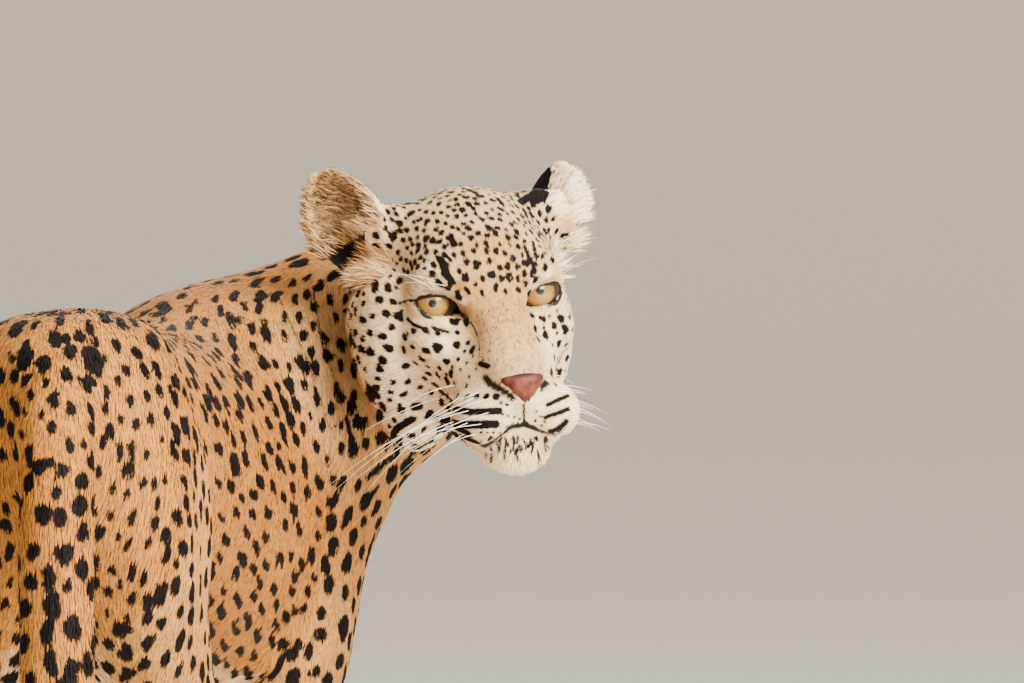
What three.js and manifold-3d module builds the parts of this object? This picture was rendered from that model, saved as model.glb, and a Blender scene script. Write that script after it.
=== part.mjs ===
// A standing leopardess, life size, that looks back over her right shoulder.
// Millimetres, +Z is up and the floor is z = 0. The body faces -Y, with its left side towards +X.

import * as THREE from "three";
import { mergeVertices } from "three/addons/utils/BufferGeometryUtils.js";
import Module from "manifold-3d";

const wasm = await Module();
wasm.setup();

// The gap that neighbouring pieces keep, and how far cutters reach past what they cut
const GAP = 0.3;
const BEYOND = 900;

// Vertices nearer than this become one
const WELD = 0.03;

// How wide the flesh blends where one form runs into another
const LEG_BLEND = 34;
const NECK_BLEND = 64;
const TAIL_BLEND = 26;
const HEAD_BLEND = 30;
const CHEEK_BLEND = 14;
const TOE_BLEND = 7;

// The spine from the buttocks to the chest: [y, x, top, belly, half width].
// It curves to the right at the chest.
const TRUNK = [
  [392, -4, 542, 446, 38],
  [352, -4, 580, 402, 62],
  [262, -4, 594, 378, 74],
  [150, -4, 588, 360, 80],
  [40, -6, 577, 338, 90],
  [-80, -10, 570, 317, 96],
  [-190, -16, 570, 306, 94],
  [-280, -24, 578, 318, 80],
  [-345, -36, 572, 356, 64],
];

// The neck, bent round to the right: [x, y, z, half width, half depth]
const NECK = [
  [-36, -240, 486, 74, 96],
  [-62, -300, 500, 73, 92],
  [-104, -324, 524, 70, 86],
  [-152, -310, 554, 66, 84],
  [-190, -270, 571, 63, 79],
];

// The flesh that bunches up on the inside of the neck's bend: its middle and half sizes
const NECK_FOLD = { at: [-116, -266, 522], size: [52, 52, 76] };

// The tail hangs from the rump and curls back at its tip: [x, y, z, half width, half depth]
const TAIL = [
  [-5, 372, 560, 34, 32],
  [-6, 424, 540, 30, 29],
  [-10, 466, 486, 28, 27],
  [-12, 486, 410, 27, 26],
  [-14, 496, 320, 26, 25],
  [-14, 508, 232, 25, 24],
  [-12, 536, 160, 24, 23],
  [-8, 590, 118, 23, 22],
  [-2, 648, 122, 22, 21],
  [4, 690, 160, 20, 19],
  [8, 706, 205, 13, 12],
];

// Where the head is held: the point between the eyes, and its turn, nod and tilt in degrees
const EYES_AT = [-238, -138, 590];
const HEAD_TURN = -161;
const HEAD_NOD = 8.7;
const HEAD_TILT = -5.6;

// The legs. A foot's reach moves it along y, and its spread moves it sideways.
const FORE_LEG = { shoulder: [64, -334, 440], elbow: [80, -248, 306], wrist: [74, -272, 116] };
const HIND_LEG = { hip: [44, 330, 486], knee: [58, 236, 322], hock: [62, 392, 168] };
const LEGS = {
  fore_left: { side: 1, reach: -38, middle: -26 },
  fore_right: { side: -1, reach: 26, middle: -24 },
  hind_left: { side: 1, reach: -44 },
  hind_right: { side: -1, reach: 18 },
};
const EYE_RADIUS = 16.5;
const EYE_OUT = 36;
const EYE_BACK = 2;

// The rim of flesh round an eye, and how far the opening between the lids is cut forwards
const EYE_RIM = 2.4;
const ALMOND_DEPTH = 44;

// Steps of the grids that the surfaces are made on, along x, y and z
const STEPS = {
  torso: [28, 33, 27],
  neck: [23, 23, 23],
  upper: [20, 24, 24],
  lower: [13.5, 17, 32],
  paw: [9, 12.5, 12],
  tail: [12.5, 12.5, 32],
  tip: [11, 19, 17],
  head: [7.9, 7, 7.9],
  nose: [3.8, 3.8, 3.8],
};

const vec = ([x, y, z]) => new THREE.Vector3(x, y, z);

/** Smooth union of two distances, over the width blend. */
function blendUnion(a, b, blend) {
  const h = Math.max(blend - Math.abs(a - b), 0) / blend;
  return Math.min(a, b) - h * h * blend * 0.25;
}

/** A form is a signed distance with the ball that holds it, so that far points cost nothing. */
function form(distance, centre, reach) {
  const [cx, cy, cz] = centre;
  return (x, y, z) => {
    const far = Math.sqrt((x - cx) ** 2 + (y - cy) ** 2 + (z - cz) ** 2) - reach;
    return far > 70 ? far : distance(x, y, z);
  };
}

/** An ellipsoid with its half sizes, turned by [x, y, z] degrees. */
function ellipsoid(centre, [a, b, c], turn = [0, 0, 0]) {
  const euler = new THREE.Euler(...turn.map(THREE.MathUtils.degToRad), "ZYX");
  const e = new THREE.Matrix4().makeRotationFromEuler(euler).elements;
  const [cx, cy, cz] = centre;
  const distance = (x, y, z) => {
    const dx = x - cx;
    const dy = y - cy;
    const dz = z - cz;
    const u = (e[0] * dx + e[1] * dy + e[2] * dz) / a;
    const v = (e[4] * dx + e[5] * dy + e[6] * dz) / b;
    const w = (e[8] * dx + e[9] * dy + e[10] * dz) / c;
    const k = Math.sqrt(u * u + v * v + w * w);
    const slope = Math.sqrt((u / a) ** 2 + (v / b) ** 2 + (w / c) ** 2);
    return slope < 1e-9 ? -Math.min(a, b, c) : (k * (k - 1)) / slope;
  };
  return form(distance, centre, Math.max(a, b, c));
}

/** A tube of oval section through stations [x, y, z, half width, half depth], up to a share of its length. */
function limb(stations, perSpan = 3, end = 1) {
  const line = new THREE.CatmullRomCurve3(stations.map(vec), false, "centripetal");
  const sizes = new THREE.SplineCurve(stations.map((s) => new THREE.Vector2(s[3], s[4])));
  const count = (stations.length - 1) * perSpan;
  const links = [];
  for (let i = 0; i < Math.round(count * end); i++) {
    const a = line.getPoint(i / count);
    const b = line.getPoint((i + 1) / count);
    const along = b.clone().sub(a);
    const level = new THREE.Vector3(-along.y, along.x, 0);
    const steep = Math.hypot(along.x, along.y) < 0.35 * along.length();
    const across = stations.across ?? (steep ? new THREE.Vector3(1, 0, 0) : level.normalize());
    links.push({ a, along, across, from: sizes.getPoint(i / count), to: sizes.getPoint((i + 1) / count) });
  }
  const box = new THREE.Box3().setFromPoints(stations.map(vec));
  const centre = box.getCenter(new THREE.Vector3());
  const reach = box.getSize(new THREE.Vector3()).length() / 2 + Math.max(...stations.map((s) => s[4]));
  const distance = (x, y, z) => {
    let best = Infinity;
    for (const { a, along, across, from, to } of links) {
      const dx = x - a.x;
      const dy = y - a.y;
      const dz = z - a.z;
      const t = (dx * along.x + dy * along.y + dz * along.z) / along.lengthSq();
      const s = Math.min(Math.max(t, 0), 1);
      const ox = dx - s * along.x;
      const oy = dy - s * along.y;
      const oz = dz - s * along.z;
      const wide = from.x + (to.x - from.x) * s;
      const deep = from.y + (to.y - from.y) * s;
      const side = ox * across.x + oy * across.y + oz * across.z;
      const rest = Math.max(ox * ox + oy * oy + oz * oz - side * side, 0);
      const k = Math.sqrt((side / wide) ** 2 + rest / (deep * deep));
      const slope = Math.sqrt(side ** 2 / wide ** 4 + rest / deep ** 4);
      const d = slope < 1e-9 ? -Math.min(wide, deep) : (k * (k - 1)) / slope;
      if (d < best) best = d;
    }
    return best;
  };
  return form(distance, centre.toArray(), reach);
}

/** The same form on both sides of the head. */
function pair(make) {
  return [make(1), make(-1)];
}

/** Joins forms into one with the same blend. */
function joined(forms, blend) {
  return (x, y, z) => {
    let d = 1e6;
    for (const f of forms) d = blendUnion(d, f(x, y, z), blend);
    return d;
  };
}

// Trunk: the spine's stations as an oval tube, with the shoulder blades and the hips over it

const trunkTube = limb(
  Object.assign(
    TRUNK.map(([y, x, top, belly, half]) => [x, y, (top + belly) / 2, half, (top - belly) / 2]),
    { across: new THREE.Vector3(1, 0, 0) },
  ),
);

/** A shoulder blade with its muscle, on one side. */
function shoulderBlade(side) {
  return ellipsoid([-30 + side * 52, -288, 474], [34, 62, 100], [-26, side * -10, 0]);
}

const trunk = joined(
  [
    trunkTube,
    shoulderBlade(1),
    shoulderBlade(-1),
    ellipsoid([-40, -346, 436], [56, 44, 74], [-12, 0, 0]),
    ellipsoid([24, 330, 552], [32, 66, 34]),
    ellipsoid([-32, 330, 552], [32, 66, 34]),
  ],
  LEG_BLEND,
);

// Legs: each is a tube through its joints, with the big muscles as ellipsoids

/** The stations of a fore leg and the place of its foot. */
function foreLeg({ side, reach, middle }) {
  const { shoulder, elbow, wrist } = FORE_LEG;
  const x = (station, slide) => side * station[0] + middle * slide;
  const stations = [
    [x(shoulder, 1), shoulder[1], shoulder[2], 37, 62],
    [x(elbow, 0.7) + side * 4, elbow[1] - 22, elbow[2] + 66, 36, 56],
    [x(elbow, 0.5), elbow[1] - 6 + reach * 0.2, elbow[2], 30, 42],
    [x(elbow, 0.3), elbow[1] - 12 + reach * 0.4, elbow[2] - 60, 26, 33],
    [x(wrist, 0), wrist[1] + reach * 0.7, wrist[2] + 46, 23, 25],
    [x(wrist, 0), wrist[1] - 2 + reach * 0.85, wrist[2], 26, 25],
    [x(wrist, 0), wrist[1] - 10 + reach, wrist[2] - 58, 27, 22],
    [x(wrist, 0), wrist[1] - 20 + reach, 30, 28, 22],
  ];
  const foot = [x(wrist, 0), wrist[1] - 30 + reach];
  const forms = [limb(stations), ellipsoid([x(elbow, 0.6), elbow[1] + 12, elbow[2] + 46], [30, 40, 58], [24, 0, 0])];
  return { forms, foot };
}

/** The stations of a hind leg and the place of its foot. */
function hindLeg({ side, reach }) {
  const { hip, knee, hock } = HIND_LEG;
  const stations = [
    [side * hip[0], hip[1], hip[2], 34, 84],
    [side * (hip[0] + 6), hip[1] - 22, hip[2] - 62, 36, 82],
    [side * (knee[0] - 4), knee[1] + 42 + reach * 0.3, knee[2] + 44, 33, 68],
    [side * knee[0], knee[1] + 40 + reach * 0.45, knee[2] - 18, 32, 50],
    [side * (hock[0] + 4), (knee[1] + hock[1]) / 2 + 16 + reach * 0.7, hock[2] + 74, 25, 33],
    [side * hock[0], hock[1] + reach * 0.95, hock[2] + 14, 19, 24],
    [side * hock[0], hock[1] + 2 + reach, hock[2] - 22, 20, 25],
    [side * (hock[0] - 2), hock[1] - 14 + reach, hock[2] - 90, 21, 21],
    [side * (hock[0] - 2), hock[1] - 34 + reach, 32, 25, 22],
  ];
  const foot = [side * (hock[0] - 2), hock[1] - 52 + reach];
  const forms = [
    limb(stations),
    ellipsoid([side * (hip[0] + 3), hip[1] + 30, hip[2] - 56], [34, 46, 92], [-16, 0, 0]),
    ellipsoid([side * knee[0], knee[1] + 4 + reach * 0.4, knee[2] + 8], [25, 34, 42], [30, 0, 0]),
  ];
  return { forms, foot };
}

const legs = Object.fromEntries(
  Object.entries(LEGS).map(([name, plan]) => [name, name.startsWith("fore") ? foreLeg(plan) : hindLeg(plan)]),
);

/** A paw: the pad and four toes, with the floor's cut left for later. */
function paw([x, y], size) {
  const toes = [
    [-25, -22, 11.5],
    [-9.5, -37, 12.5],
    [9.5, -37, 12.5],
    [25, -22, 11.5],
  ];
  return joined(
    [
      ellipsoid([x, y + 4 * size, 24 * size], [34 * size, 38 * size, 27 * size]),
      ...toes.map(([tx, ty, r]) =>
        ellipsoid([x + tx * size, y + ty * size, 16 * size], [r * size, 23 * size, 18 * size], [0, 0, -tx * 0.4]),
      ),
    ],
    TOE_BLEND,
  );
}

const paws = {
  fore_left: paw(legs.fore_left.foot, 1.04),
  fore_right: paw(legs.fore_right.foot, 1.04),
  hind_left: paw(legs.hind_left.foot, 0.95),
  hind_right: paw(legs.hind_right.foot, 0.95),
};

// Head, in its own frame: x to its left, y backwards, z up, from the point between the eyes

const headPlace = new THREE.Matrix4()
  .makeRotationFromEuler(
    new THREE.Euler(...[HEAD_NOD, HEAD_TILT, HEAD_TURN].map(THREE.MathUtils.degToRad), "ZXY"),
  )
  .setPosition(...EYES_AT);
const headBack = headPlace.clone().invert();

const skull = joined(
  [
    ellipsoid([0, 52, 11], [60, 70, 58]),
    ellipsoid([0, 8, 14], [45, 39, 36]),
    ...pair((s) => ellipsoid([s * 39, 32, -24], [29, 46, 36], [0, 0, s * -10])),
    ...pair((s) => ellipsoid([s * 33, 52, -60], [34, 44, 36])),
    limb([
      [0, -6, 0, 25, 24],
      [0, -44, -22, 20, 19],
      [0, -80, -47, 18, 14],
    ]),
    limb([
      [0, 0, -38, 46, 38],
      [0, -40, -50, 34, 30],
      [0, -66, -60, 28, 22],
    ]),
    ...pair((s) => ellipsoid([s * 19, -69, -70], [22, 26, 21], [0, 0, s * 18])),
    ...pair((s) => ellipsoid([s * 34, -3, 20], [19, 15, 9], [0, s * 14, 0])),
    ...pair((s) => ellipsoid([s * 38, 0, -27], [20, 24, 16])),
    ...pair((s) => ellipsoid([s * 52, 64, 40], [24, 20, 20])),
  ],
  CHEEK_BLEND,
);
const jaw = joined(
  [
    ellipsoid([0, -63, -92], [21, 19, 17]),
    limb([
      [0, -54, -89, 24, 17],
      [0, -14, -85, 33, 24],
      [0, 40, -66, 42, 38],
    ]),
  ],
  CHEEK_BLEND,
);

const headForm = (x, y, z) => blendUnion(skull(x, y, z), jaw(x, y, z), 8);

const point = new THREE.Vector3();
const head = form(
  (x, y, z) => {
    point.set(x, y, z).applyMatrix4(headBack);
    return headForm(point.x, point.y, point.z);
  },
  new THREE.Vector3(0, 20, -10).applyMatrix4(headPlace).toArray(),
  150,
);

const neckFold = ellipsoid(NECK_FOLD.at, NECK_FOLD.size);
const neck = joined([limb(NECK), neckFold], NECK_BLEND);
const neckBase = joined([limb(NECK, 3, 0.5), neckFold], NECK_BLEND);
const tail = limb(TAIL);

/** Joins forms one after another, each with its own blend: [form, blend]. */
function flesh(parts) {
  return (x, y, z) => {
    let d = 1e6;
    for (const [part, blend] of parts) d = blendUnion(d, part(x, y, z), blend);
    return d;
  };
}

/** A leg's forms, ready for flesh(). */
function legParts(name) {
  return [...legs[name].forms.map((part) => [part, LEG_BLEND]), [paws[name], CHEEK_BLEND]];
}

const trunkAndLegs = [[trunk, LEG_BLEND], ...Object.keys(LEGS).flatMap(legParts)];
const body = flesh([...trunkAndLegs, [neckBase, NECK_BLEND], [tail, TAIL_BLEND]]);
const front = flesh([[trunk, LEG_BLEND], [neck, NECK_BLEND], [head, HEAD_BLEND]]);

/** Grid lines through a box, [low, high] on each axis. A step grows by coarse(t) along y. */
function grid(box, steps, coarse = () => 1) {
  return box.map(([low, high], axis) => {
    const lines = [low];
    while (lines.at(-1) < high) lines.push(lines.at(-1) + steps[axis] * (axis === 1 ? coarse(lines.at(-1)) : 1));
    return lines;
  });
}

const CORNERS = [0, 1, 2, 3, 4, 5, 6, 7].map((n) => [n & 1, (n >> 1) & 1, n >> 2]);
const EDGES = CORNERS.flatMap((a, i) =>
  CORNERS.flatMap((b, j) => (j > i && a.filter((v, k) => v !== b[k]).length === 1 ? [[i, j]] : [])),
);

/** The closed surface where a distance is zero, as surface nets on a grid of lines. */
function surface(distance, [xs, ys, zs]) {
  const [nx, ny, nz] = [xs.length, ys.length, zs.length];
  const at = (i, j, k) => i + nx * (j + ny * k);
  const value = new Float32Array(nx * ny * nz).fill(5);
  for (let k = 1; k < nz - 1; k++) {
    for (let j = 1; j < ny - 1; j++) {
      for (let i = 1; i < nx - 1; i++) value[at(i, j, k)] = distance(xs[i], ys[j], zs[k]) || 1e-6;
    }
  }
  const vertexOf = new Int32Array(nx * ny * nz).fill(-1);
  const positions = [];
  for (let k = 0; k < nz - 1; k++) {
    for (let j = 0; j < ny - 1; j++) {
      for (let i = 0; i < nx - 1; i++) {
        const v = CORNERS.map(([a, b, c]) => value[at(i + a, j + b, k + c)]);
        const inside = v.filter((d) => d < 0).length;
        if (inside === 0 || inside === 8) continue;
        const sum = [0, 0, 0];
        let count = 0;
        for (const [a, b] of EDGES) {
          if (v[a] < 0 === v[b] < 0) continue;
          const t = v[a] / (v[a] - v[b]);
          for (let c = 0; c < 3; c++) sum[c] += CORNERS[a][c] + t * (CORNERS[b][c] - CORNERS[a][c]);
          count++;
        }
        const [fx, fy, fz] = sum.map((s) => s / count);
        const p = [
          xs[i] + fx * (xs[i + 1] - xs[i]),
          ys[j] + fy * (ys[j + 1] - ys[j]),
          zs[k] + fz * (zs[k + 1] - zs[k]),
        ];
        const border = i === 0 || j === 0 || k === 0 || i === nx - 2 || j === ny - 2 || k === nz - 2;
        vertexOf[at(i, j, k)] = positions.length / 3;
        positions.push(...(border ? p : onto(distance, p)));
      }
    }
  }
  const index = [];
  const quad = (a, b, c, d, flip) => (flip ? index.push(a, c, b, a, d, c) : index.push(a, b, c, a, c, d));
  for (let k = 0; k < nz - 1; k++) {
    for (let j = 0; j < ny - 1; j++) {
      for (let i = 0; i < nx - 1; i++) {
        const here = value[at(i, j, k)] < 0;
        const cell = (a, b, c) => vertexOf[at(i - a, j - b, k - c)];
        if (here !== value[at(i + 1, j, k)] < 0)
          quad(cell(0, 0, 0), cell(0, 1, 0), cell(0, 1, 1), cell(0, 0, 1), !here);
        if (here !== value[at(i, j + 1, k)] < 0)
          quad(cell(0, 0, 0), cell(0, 0, 1), cell(1, 0, 1), cell(1, 0, 0), !here);
        if (here !== value[at(i, j, k + 1)] < 0)
          quad(cell(0, 0, 0), cell(1, 0, 0), cell(1, 1, 0), cell(0, 1, 0), !here);
      }
    }
  }
  return solid(new Float32Array(positions), new Uint32Array(index));
}

/** Moves a point onto the surface where a distance is zero. */
function onto(distance, [x, y, z]) {
  const e = 0.5;
  for (let turn = 0; turn < 2; turn++) {
    const d = distance(x, y, z);
    const g = [distance(x + e, y, z) - d, distance(x, y + e, z) - d, distance(x, y, z + e) - d];
    const size = g.reduce((s, c) => s + c * c, 0);
    if (size < 1e-9) break;
    const move = Math.max(Math.min((d * e) / size, 40), -40);
    x -= g[0] * move;
    y -= g[1] * move;
    z -= g[2] * move;
  }
  return [x, y, z];
}

/** A solid from vertices and triangles. */
function solid(vertProperties, triVerts) {
  const made = new wasm.Manifold(new wasm.Mesh({ numProp: 3, vertProperties, triVerts }));
  if (made.volume() < 0) throw new Error("a surface is inside out");
  return made;
}

/** A three.js geometry as a solid, where a matrix places it. */
function placed(geometry, matrix = new THREE.Matrix4()) {
  const g = geometry.clone().applyMatrix4(matrix);
  g.deleteAttribute("normal");
  g.deleteAttribute("uv");
  const merged = mergeVertices(g, 1e-4);
  return solid(new Float32Array(merged.attributes.position.array), new Uint32Array(merged.index.array));
}

/** A solid as a three.js geometry. */
function geometryOf(made) {
  const { vertProperties, triVerts } = made.getMesh();
  const flat = new THREE.BufferGeometry()
    .setAttribute("position", new THREE.BufferAttribute(vertProperties, 3))
    .setIndex(new THREE.BufferAttribute(triVerts, 1));
  return flat;
}

/** The same surface with vertices nearer than WELD made one, and without the slivers that this closes. */
function welded(geometry) {
  const { array: positions } = geometry.attributes.position;
  const cells = new Map();
  const key = (p, dx = 0, dy = 0, dz = 0) =>
    [p[0] / WELD + dx, p[1] / WELD + dy, p[2] / WELD + dz].map(Math.floor).join();
  const steps = [-1, 0, 1];
  const around = steps.flatMap((a) => steps.flatMap((b) => steps.map((c) => [a, b, c])));
  const kept = [];
  const target = [];
  for (let i = 0; i < positions.length; i += 3) {
    const p = positions.subarray(i, i + 3);
    const near = around.flatMap((step) => cells.get(key(p, ...step)) ?? []);
    const same = near.find((k) => Math.hypot(...kept[k].map((v, c) => v - p[c])) < WELD);
    target.push(same ?? kept.length);
    if (same !== undefined) continue;
    cells.set(key(p), [...(cells.get(key(p)) ?? []), kept.length]);
    kept.push([...p]);
  }
  const triangles = new Map();
  const { array: index } = geometry.index;
  for (let i = 0; i < index.length; i += 3) {
    const t = [target[index[i]], target[index[i + 1]], target[index[i + 2]]];
    if (new Set(t).size < 3) continue;
    const name = [...t].sort((a, b) => a - b).join();
    if (triangles.has(name)) triangles.delete(name);
    else triangles.set(name, t);
  }
  return new THREE.BufferGeometry()
    .setAttribute("position", new THREE.Float32BufferAttribute(kept.flat(), 3))
    .setIndex([...triangles.values()].flat());
}

/** The largest body of a solid. */
function largest(made) {
  return made.decompose().reduce((best, body) => (body.volume() > best.volume() ? body : best));
}

/** A big block on the side of the plane through a point that its normal points to. */
function halfSpace(through, normal, shift = 0) {
  const n = vec(normal).normalize();
  const turn = new THREE.Quaternion().setFromUnitVectors(new THREE.Vector3(0, 0, 1), n);
  const centre = vec(through).addScaledVector(n, BEYOND + shift);
  const place = new THREE.Matrix4().compose(centre, turn, new THREE.Vector3(1, 1, 1));
  return placed(new THREE.BoxGeometry(2 * BEYOND, 2 * BEYOND, 2 * BEYOND), place);
}

/** A prism with a side view of [y, z] points, from one x to another. */
function sidePrism(points, fromX, toX) {
  const shape = new THREE.Shape(points.map(([y, z]) => new THREE.Vector2(y, z)));
  const geometry = new THREE.ExtrudeGeometry(shape, { depth: toX - fromX, bevelEnabled: false });
  const place = new THREE.Matrix4().makeBasis(
    new THREE.Vector3(0, 1, 0),
    new THREE.Vector3(0, 0, 1),
    new THREE.Vector3(1, 0, 0),
  );
  return placed(geometry, place.setPosition(fromX, 0, 0));
}

/** The same solid where a matrix puts it. */
function moved(made, matrix) {
  const geometry = geometryOf(made).applyMatrix4(matrix);
  return solid(geometry.attributes.position.array, geometry.index.array);
}

/** The solid with copies of itself moved by the gap each way, to cut a neighbour that rests on it. */
function withGap(made, ways) {
  const shifted = ways.map((way) => {
    const { x, y, z } = vec(way).setLength(GAP);
    return moved(made, new THREE.Matrix4().setPosition(x, y, z));
  });
  return shifted.reduce((sum, copy) => sum.add(copy), made);
}

/** The room between planes [point, inward normal], grown by some millimetres. */
function room(planes, grow = 0) {
  return planes.map(([p, n]) => halfSpace(p, n, -grow)).reduce((sum, half) => sum.intersect(half));
}

/** The planes of a convex side view, [y, z] points in turn from front to back over the top. */
function sidePlanes(points) {
  const middle = points.reduce(([a, b], [y, z]) => [a + y / points.length, b + z / points.length], [0, 0]);
  return points.map(([y, z], i) => {
    const [y2, z2] = points[(i + 1) % points.length];
    const inward = Math.sign((middle[0] - y) * (z - z2) + (middle[1] - z) * (y2 - y));
    return [[0, y, z], [0, (z - z2) * inward, (y2 - y) * inward]];
  });
}

// Where the legs leave the torso: the side view of each joint and the plane on its inner side

const KNEE_Z = 288;
const PAW_Z = 72;
const JOINTS = {
  fore: [[-150, KNEE_Z], [-185, 380], [-245, 492], [-360, 492], [-412, 400], [-400, KNEE_Z]],
  hind: [[140, KNEE_Z], [165, 400], [230, 500], [330, 522], [416, 486], [452, KNEE_Z]],
};

/** The planes that hold a leg's upper part. */
function upperPlanes(name) {
  const { side, middle = 0 } = LEGS[name];
  const fore = name.startsWith("fore");
  const high = fore ? [middle * 0.8 + side * 48, 0, 490] : [side * 34, 0, 530];
  const low = fore ? [middle * 0.8 + side * 18, 0, KNEE_Z] : [side * 8, 0, 350];
  const inward = [side, 0, (low[0] - high[0]) / (high[2] - low[2])];
  return [...sidePlanes(JOINTS[fore ? "fore" : "hind"]), [high, inward]];
}

/** A leg's upper part, lower part and paw. */
function legNodes(name) {
  const { side, middle = 0 } = LEGS[name];
  const [footX, footY] = legs[name].foot;
  const [low, high] = name.startsWith("fore") ? [-424, -140] : [130, 462];
  const across = side > 0 ? [middle, 150] : [-190, middle + 4];
  const leg = flesh([[trunk, LEG_BLEND], ...legParts(name), [neckBase, NECK_BLEND]]);
  const upper = surface(leg, grid([across, [low, high], [262, 560]], STEPS.upper));
  const shin = surface(leg, grid([across, [low - 50, high + 30], [50, 340]], STEPS.lower));
  const footBox = [[footX - 56, footX + 56], [footY - 90, footY + 90], [-7, 108]];
  const foot = surface(leg, grid(footBox, STEPS.paw));
  const floor = [[0, 0, 0], [0, 0, 1]];
  return {
    [name + "_upper"]: upper.intersect(room([...upperPlanes(name), facing(COLLAR)])),
    [name + "_lower"]: shin.intersect(room([[[0, 0, PAW_Z], [0, 0, 1]], [[0, 0, KNEE_Z - GAP], [0, 0, -1]]])),
    [name + "_paw"]: foot.intersect(room([floor, [[0, 0, PAW_Z - GAP], [0, 0, -1]]])),
  };
}

// Where the neck leaves the torso and the head leaves the neck: a point and the way onwards.
// The nape's point is in the head's frame.

const COLLAR = [[-66, -312, 510], [-0.4, -0.78, 0.48]];
const NAPE_AT = [0, 84, -14];
const NAPE_WAY = [-0.45, 0.87, 0.05];
const NAPE = [vec(NAPE_AT).applyMatrix4(headPlace).toArray(), NAPE_WAY];
const TAIL_ROOT = [[0, 442, 500], [0, 1, 0]];
const TAIL_MIDDLE = [[-3, 486, 380], [0, 0.06, -1]];
const TAIL_END = [[-8, 512, 212], [0, 0.2, -1]];

/** The plane turned to face the other way, moved back by the gap. */
function facing([through, normal]) {
  const n = vec(normal).normalize();
  return [vec(through).addScaledVector(n, -GAP).toArray(), n.negate().toArray()];
}

const nodes = {};

const torsoGrid = grid([[-190, 160], [-445, 490], [288, 670]], STEPS.torso);
nodes.torso = surface(body, torsoGrid).intersect(room([facing(COLLAR), facing(TAIL_ROOT)]));
for (const name of Object.keys(LEGS)) {
  nodes.torso = nodes.torso.subtract(room(upperPlanes(name), GAP));
  Object.assign(nodes, legNodes(name));
}
const neckGrid = grid([[-320, 80], [-460, -110], [370, 710]], STEPS.neck);
nodes.neck = surface(front, neckGrid).intersect(room([COLLAR, facing(NAPE)]));

const tailForm = flesh([[trunk, LEG_BLEND], [tail, TAIL_BLEND]]);
const upperTail = surface(tailForm, grid([[-52, 52], [400, 550], [180, 620]], STEPS.tail));
const lowerTail = surface(tail, grid([[-50, 50], [440, 740], [74, 260]], STEPS.tip));
nodes.tail_root = upperTail.intersect(room([TAIL_ROOT, facing(TAIL_MIDDLE)]));
nodes.tail_middle = upperTail.intersect(room([TAIL_MIDDLE, facing(TAIL_END)]));
nodes.tail_tip = lowerTail.intersect(room([TAIL_END]));

// The head's solids are cut in its own frame and placed last

const inHead = (p) => new THREE.Vector3(...p).applyMatrix4(headPlace).toArray();
const ownFrame = (x, y, z) => {
  const p = inHead([x, y, z]);
  return blendUnion(headForm(x, y, z), neck(...p), HEAD_BLEND);
};
const coarser = (y) => (y < -20 ? 1 : 1.5);
const headGrid = grid([[-112, 112], [-112, 190], [-140, 110]], STEPS.head, coarser);
const napeWay = vec(NAPE_WAY).transformDirection(headBack).toArray();
let headSolid = surface(ownFrame, headGrid).intersect(room([[NAPE_AT, napeWay]]));

/** An eye's centre in the head's frame. */
const eyeCentre = (side) => [side * EYE_OUT, EYE_BACK, 0];

/** A ball in the head's frame. */
function ball([x, y, z], radius, around = 14, rows = 10) {
  const place = new THREE.Matrix4().makeRotationX(Math.PI / 2).setPosition(x, y, z);
  return placed(new THREE.SphereGeometry(radius, around, rows), place);
}

/** The almond opening between the lids, as a prism from in front of the eye to its middle. */
function almond(side) {
  const shape = new THREE.Shape();
  shape.moveTo(-17, -8);
  shape.quadraticCurveTo(-9, 9.5, 3, 9);
  shape.quadraticCurveTo(11, 8.5, 17, 3.5);
  shape.quadraticCurveTo(12, -8, 1, -9);
  shape.quadraticCurveTo(-8, -9.5, -17, -8);
  const outline = shape.getPoints(4).map((p) => new THREE.Vector2(side * p.x, p.y));
  const geometry = new THREE.ExtrudeGeometry(new THREE.Shape(outline), { depth: ALMOND_DEPTH, bevelEnabled: false });
  const out = new THREE.Vector3(1, 0, 0);
  const basis = new THREE.Matrix4().makeBasis(out, new THREE.Vector3(0, 0, 1), new THREE.Vector3(0, -1, 0));
  return placed(geometry, basis.setPosition(...eyeCentre(side)));
}

for (const side of [1, -1]) {
  headSolid = headSolid
    .add(ball(eyeCentre(side), EYE_RADIUS + EYE_RIM))
    .subtract(ball(eyeCentre(side), EYE_RADIUS + GAP))
    .subtract(almond(side));
}

// The mouth line, seen from the side: what is under it belongs to the lower jaw
const MOUTH = [[-120, -85], [-84, -85], [-62, -90], [-26, -83], [-12, -96], [-4, -140], [-120, -140]];
const JAW_HALF = 80;
const mouthWay = (grow) => {
  const line = MOUTH.map(([y, z]) => [y + (y > -20 ? grow : 0), z + (z > -100 ? grow : 0)]);
  return sidePrism(line, -JAW_HALF, JAW_HALF);
};
const jawSolid = headSolid.intersect(mouthWay(0));
headSolid = headSolid.subtract(mouthWay(GAP));

// The nose: its leather sits on the end of the muzzle, with the nostrils cut in
const noseForm = (x, y, z) => {
  const leather = blendUnion(
    ellipsoid([0, -86, -47], [21, 10, 9])(x, y, z),
    ellipsoid([0, -88, -57], [10, 9, 12])(x, y, z),
    8,
  );
  const nostril = Math.min(...pair((s) => ellipsoid([s * 13, -96, -51], [5.5, 8, 3.6], [0, s * -24, 0])(x, y, z)));
  return Math.max(leather, -nostril);
};
const noseGrid = grid([[-28, 28], [-106, -70], [-76, -30]], STEPS.nose);
const noseSolid = surface(noseForm, noseGrid).subtract(withGap(headSolid, [[0, -1, 0]]));

// The ears in the head's frame. The right one is torn: its notch lies this far along its width.
const EARS = {
  ear_left: { base: [60, 67, 14], tip: [80, 85, 73], opening: [0.9, 0.42, -0.1], width: 28 },
  ear_right: { base: [-62, 58, 16], tip: [-97, 83, 84], opening: [-0.72, -0.68, 0], width: 31, notch: 3 },
};
const NOTCH = [[-6, 6], [0, -13], [6, 6]];
const EAR_WALL = 4.5;

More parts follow.
